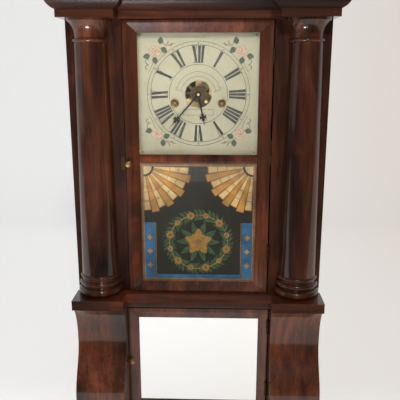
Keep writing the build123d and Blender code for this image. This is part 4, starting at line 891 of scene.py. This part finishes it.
class CLOCK_OT_tablet(bpy.types.Operator):
    """Painting behind the lower pane: corner fans, a leaf wreath with rosettes, side panels and borders"""
    bl_idname = "clock.tablet"
    bl_label = "Tablet"

    def execute(self, context):
        tablet = context.scene.clock_tablet
        fans, pales, ribs, rim, lines, blues, leaves, flowers, buds = ([] for _ in range(9))
        for side in (-1, 1):
            fan(side, fans, pales, ribs)
        borders(rim, lines, blues)
        wreath(leaves, flowers, buds)
        field = box(0, TABLET_MIDDLE, HALF_WIDTH, HALF_HEIGHT, behind(6))
        stem = strip(np.stack(on_wreath(np.linspace(0, 2 * math.pi, 121)), 1), 0.0012, behind(1))
        for name, grids, color, looks in (
                ("field", [field], tablet.field, WORN),
                ("fans", fans, tablet.ochre, WORN),
                ("pale_fans", pales, tablet.cream, WORN),
                ("fan_ribs", ribs, tablet.ribs, WORN),
                ("rim", rim, tablet.brown, WORN),
                ("lines", lines, shade(tablet.ochre, 0.9), WORN),
                ("blue", blues, tablet.blue, WORN),
                ("wreath", leaves, tablet.green, {"variation": 0.5, "scale": 200.0}),
                ("stem", [stem], tablet.ochre, WORN),
                ("rosettes", flowers, shade(tablet.ochre, 0.8), {"variation": 0.35, "scale": 300.0}),
                ("buds", buds, tablet.brown, WORN)):
            material = finish("tablet_" + name, paint, color, **looks)
            grid_piece("tablet_" + name, grids, "upper_door", material)
        return {"FINISHED"}


# Stage
def soft_light(name, place, target, size, watts, color, spread=180):
    """Square area light at a place, aimed at a target; a small spread in degrees makes it a card."""
    lamp = bpy.data.lights.new(name, "AREA")
    lamp.shape = "SQUARE"
    lamp.size = size
    lamp.energy = watts
    lamp.color = color
    lamp.spread = math.radians(spread)
    made = bpy.data.objects.new(name, lamp)
    made.location = place
    aim = np.asarray(target, float) - np.asarray(place, float)
    yaw = math.atan2(-aim[0], aim[1])
    pitch = math.atan2(aim[2], math.hypot(aim[0], aim[1]))
    made.rotation_euler = (math.pi / 2 + pitch, 0, yaw)
    bpy.context.scene.collection.objects.link(made)
    return made


def floor_paint(stage):
    """Pale matt floor with painted shade that grows darker and warmer to the right; it gives off a little
    light, more of it in front, and in glossy reflections it turns dark before the clock, as a dim room would
    be."""
    made = Finish("floor")
    grain = made.noise(made.place(), 40.0)
    x, y = made.part(made.place(), "X"), made.part(made.place(), "Y")
    mirrored = made.node("ShaderNodeLightPath", {}).outputs["Is Glossy Ray"]
    lit = made.math("MAXIMUM", made.spread(y, -0.66, -0.56), made.math("SUBTRACT", 1.0, mirrored))
    color = made.mix(made.spread(grain, 0.3, 0.7), shade(stage.floor, 0.97), stage.floor)
    # Painted shade: darker and warmer towards the right
    color = made.mix(made.spread(x, -0.3, 1.1), color, stage.warm_shade)
    color = made.mix(lit, shade(stage.floor, 0.1), color)
    glow = made.math("MULTIPLY", lit, made.math("ADD", made.spread(y, 0.1, -0.08, 0.0, 0.2), stage.glow))
    return made.done(made.surface(Base_Color=color, Roughness=0.7, Emission_Color=color,
                                  Emission_Strength=glow))


def floor_sweep(stage):
    """Floor that curves up into a wall: the wall's height is WALL_HEIGHT * t ** 2.2, with t from 0 where it
    starts to 1 at its end."""
    row = np.linspace(0.0, 1.0, FLOOR_ROWS)
    across = np.linspace(-FLOOR_HALF, FLOOR_HALF, FLOOR_COLUMNS)
    depth = np.interp(row, [0, 0.6, 0.9, 1.0], [-2.4, 1.4, 2.0, WALL_START + WALL_RUN])
    height = WALL_HEIGHT * np.clip((depth - WALL_START) / WALL_RUN, 0, 1) ** 2.2 - FLOOR_DROP
    grid = np.stack(np.broadcast_arrays(across, depth[:, None], height[:, None]), -1)
    faces = quads(FLOOR_ROWS, FLOOR_COLUMNS)[:, ::-1]
    return new_object("floor", grid.reshape(-1, 3), faces, floor_paint(stage))


def room_world(stage):
    """World: the camera and the panes see the backdrop, the object is lit evenly, and reflections see a room
    that is dark in front of the clock and pale behind it."""
    made = Finish("room", "worlds")

    def background(color, strength):
        return made.node("ShaderNodeBackground", {"Color": rgba(color), "Strength": strength}).outputs[0]

    path = made.node("ShaderNodeLightPath", {}).outputs
    direction = made.node("ShaderNodeTexCoord", {}).outputs["Generated"]
    rear = made.spread(made.part(direction, "Y"), -0.1, 0.2, 0.045, 0.95)
    seen = made.math("MAXIMUM", path["Is Camera Ray"], path["Is Transmission Ray"])
    room = made.join(path["Is Glossy Ray"], background((0.93, 0.95, 1.0), stage.room),
                     background(stage.backdrop, rear))
    return made.done(made.join(seen, room, background(stage.backdrop, 1.0)), "ShaderNodeOutputWorld")


def front_camera():
    """Camera at the photographed angle: near, just above the dial's middle, and tilted down a little."""
    lens = bpy.data.cameras.new("camera")
    lens.lens = LENS
    lens.sensor_width = SENSOR
    camera = bpy.data.objects.new("camera", lens)
    camera.location = CAMERA_PLACE
    camera.rotation_euler = (math.radians(90 + CAMERA_PITCH), 0, math.radians(CAMERA_YAW))
    bpy.context.scene.collection.objects.link(camera)
    return camera


class CLOCK_OT_stage(bpy.types.Operator):
    """Pale floor, soft lights, pale backdrop and the camera"""
    bl_idname = "clock.stage"
    bl_label = "Stage"

    def execute(self, context):
        scene, stage = context.scene, context.scene.clock_stage
        floor = floor_sweep(stage)
        lights = [
            soft_light("key", (0.12, -1.35, 1.45), (0, 0, 0.42), 0.12, stage.key, (1.0, 0.96, 0.91)),
            soft_light("side", (-1.6, -0.5, 0.9), (0, 0, 0.4), 1.0, stage.side, (0.95, 0.97, 1.0)),
            soft_light("low_card", (-0.28, -0.86, 0.01), (-0.1, -0.05, 0.745), 0.22, stage.low,
                       (0.95, 0.96, 1.0), CARD_SPREAD),
            soft_light("low_card_dim", (-0.03, -0.84, 0.01), (0.02, -0.05, 0.745), 0.26, stage.low * 0.1,
                       (0.97, 0.96, 1.0), CARD_SPREAD),
        ]
        camera = front_camera()
        scene.camera = camera
        scene.world = room_world(stage)
        scene.view_settings.view_transform = "Standard"
        return {"FINISHED"}


class CLOCK_PT_panel(bpy.types.Panel):
    """Sizes, colours and buttons of the clock"""
    bl_idname = "CLOCK_PT_panel"
    bl_label = "Empire shelf clock"
    bl_space_type = "VIEW_3D"
    bl_region_type = "UI"
    bl_category = "Clock"

    def draw(self, context):
        for operator in OPERATORS:
            self.layout.operator(operator.bl_idname)
        for key, group in GROUPS.items():
            area = self.layout.box()
            area.label(text=group.__name__)
            values = getattr(context.scene, key)
            for name in group.__annotations__:
                area.prop(values, name)


GROUPS = {
    "clock_wood": ClockWood,
    "clock_dial": ClockDial,
    "clock_flowers": ClockFlowers,
    "clock_tablet": ClockTablet,
    "clock_metal": ClockMetal,
    "clock_stage": ClockStage,
}
OPERATORS = (CLOCK_OT_case, CLOCK_OT_doors, CLOCK_OT_metalwork, CLOCK_OT_cords, CLOCK_OT_dial,
             CLOCK_OT_tablet, CLOCK_OT_stage)


def register():
    """Registers the settings, the operators and the panel."""
    for key, group in GROUPS.items():
        bpy.utils.register_class(group)
        setattr(bpy.types.Scene, key, bpy.props.PointerProperty(type=group))
    for made in (*OPERATORS, CLOCK_PT_panel):
        bpy.utils.register_class(made)


def unregister():
    """Takes all of it out again, in reverse."""
    for made in (CLOCK_PT_panel, *reversed(OPERATORS)):
        bpy.utils.unregister_class(made)
    for key, group in reversed(GROUPS.items()):
        delattr(bpy.types.Scene, key)
        bpy.utils.unregister_class(group)


def main():
    """Registers the add-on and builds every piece."""
    register()
    for operator in ("case", "doors", "metalwork", "cords", "dial", "tablet", "stage"):
        getattr(bpy.ops.clock, operator)()


if __name__ == "__main__":
    main()
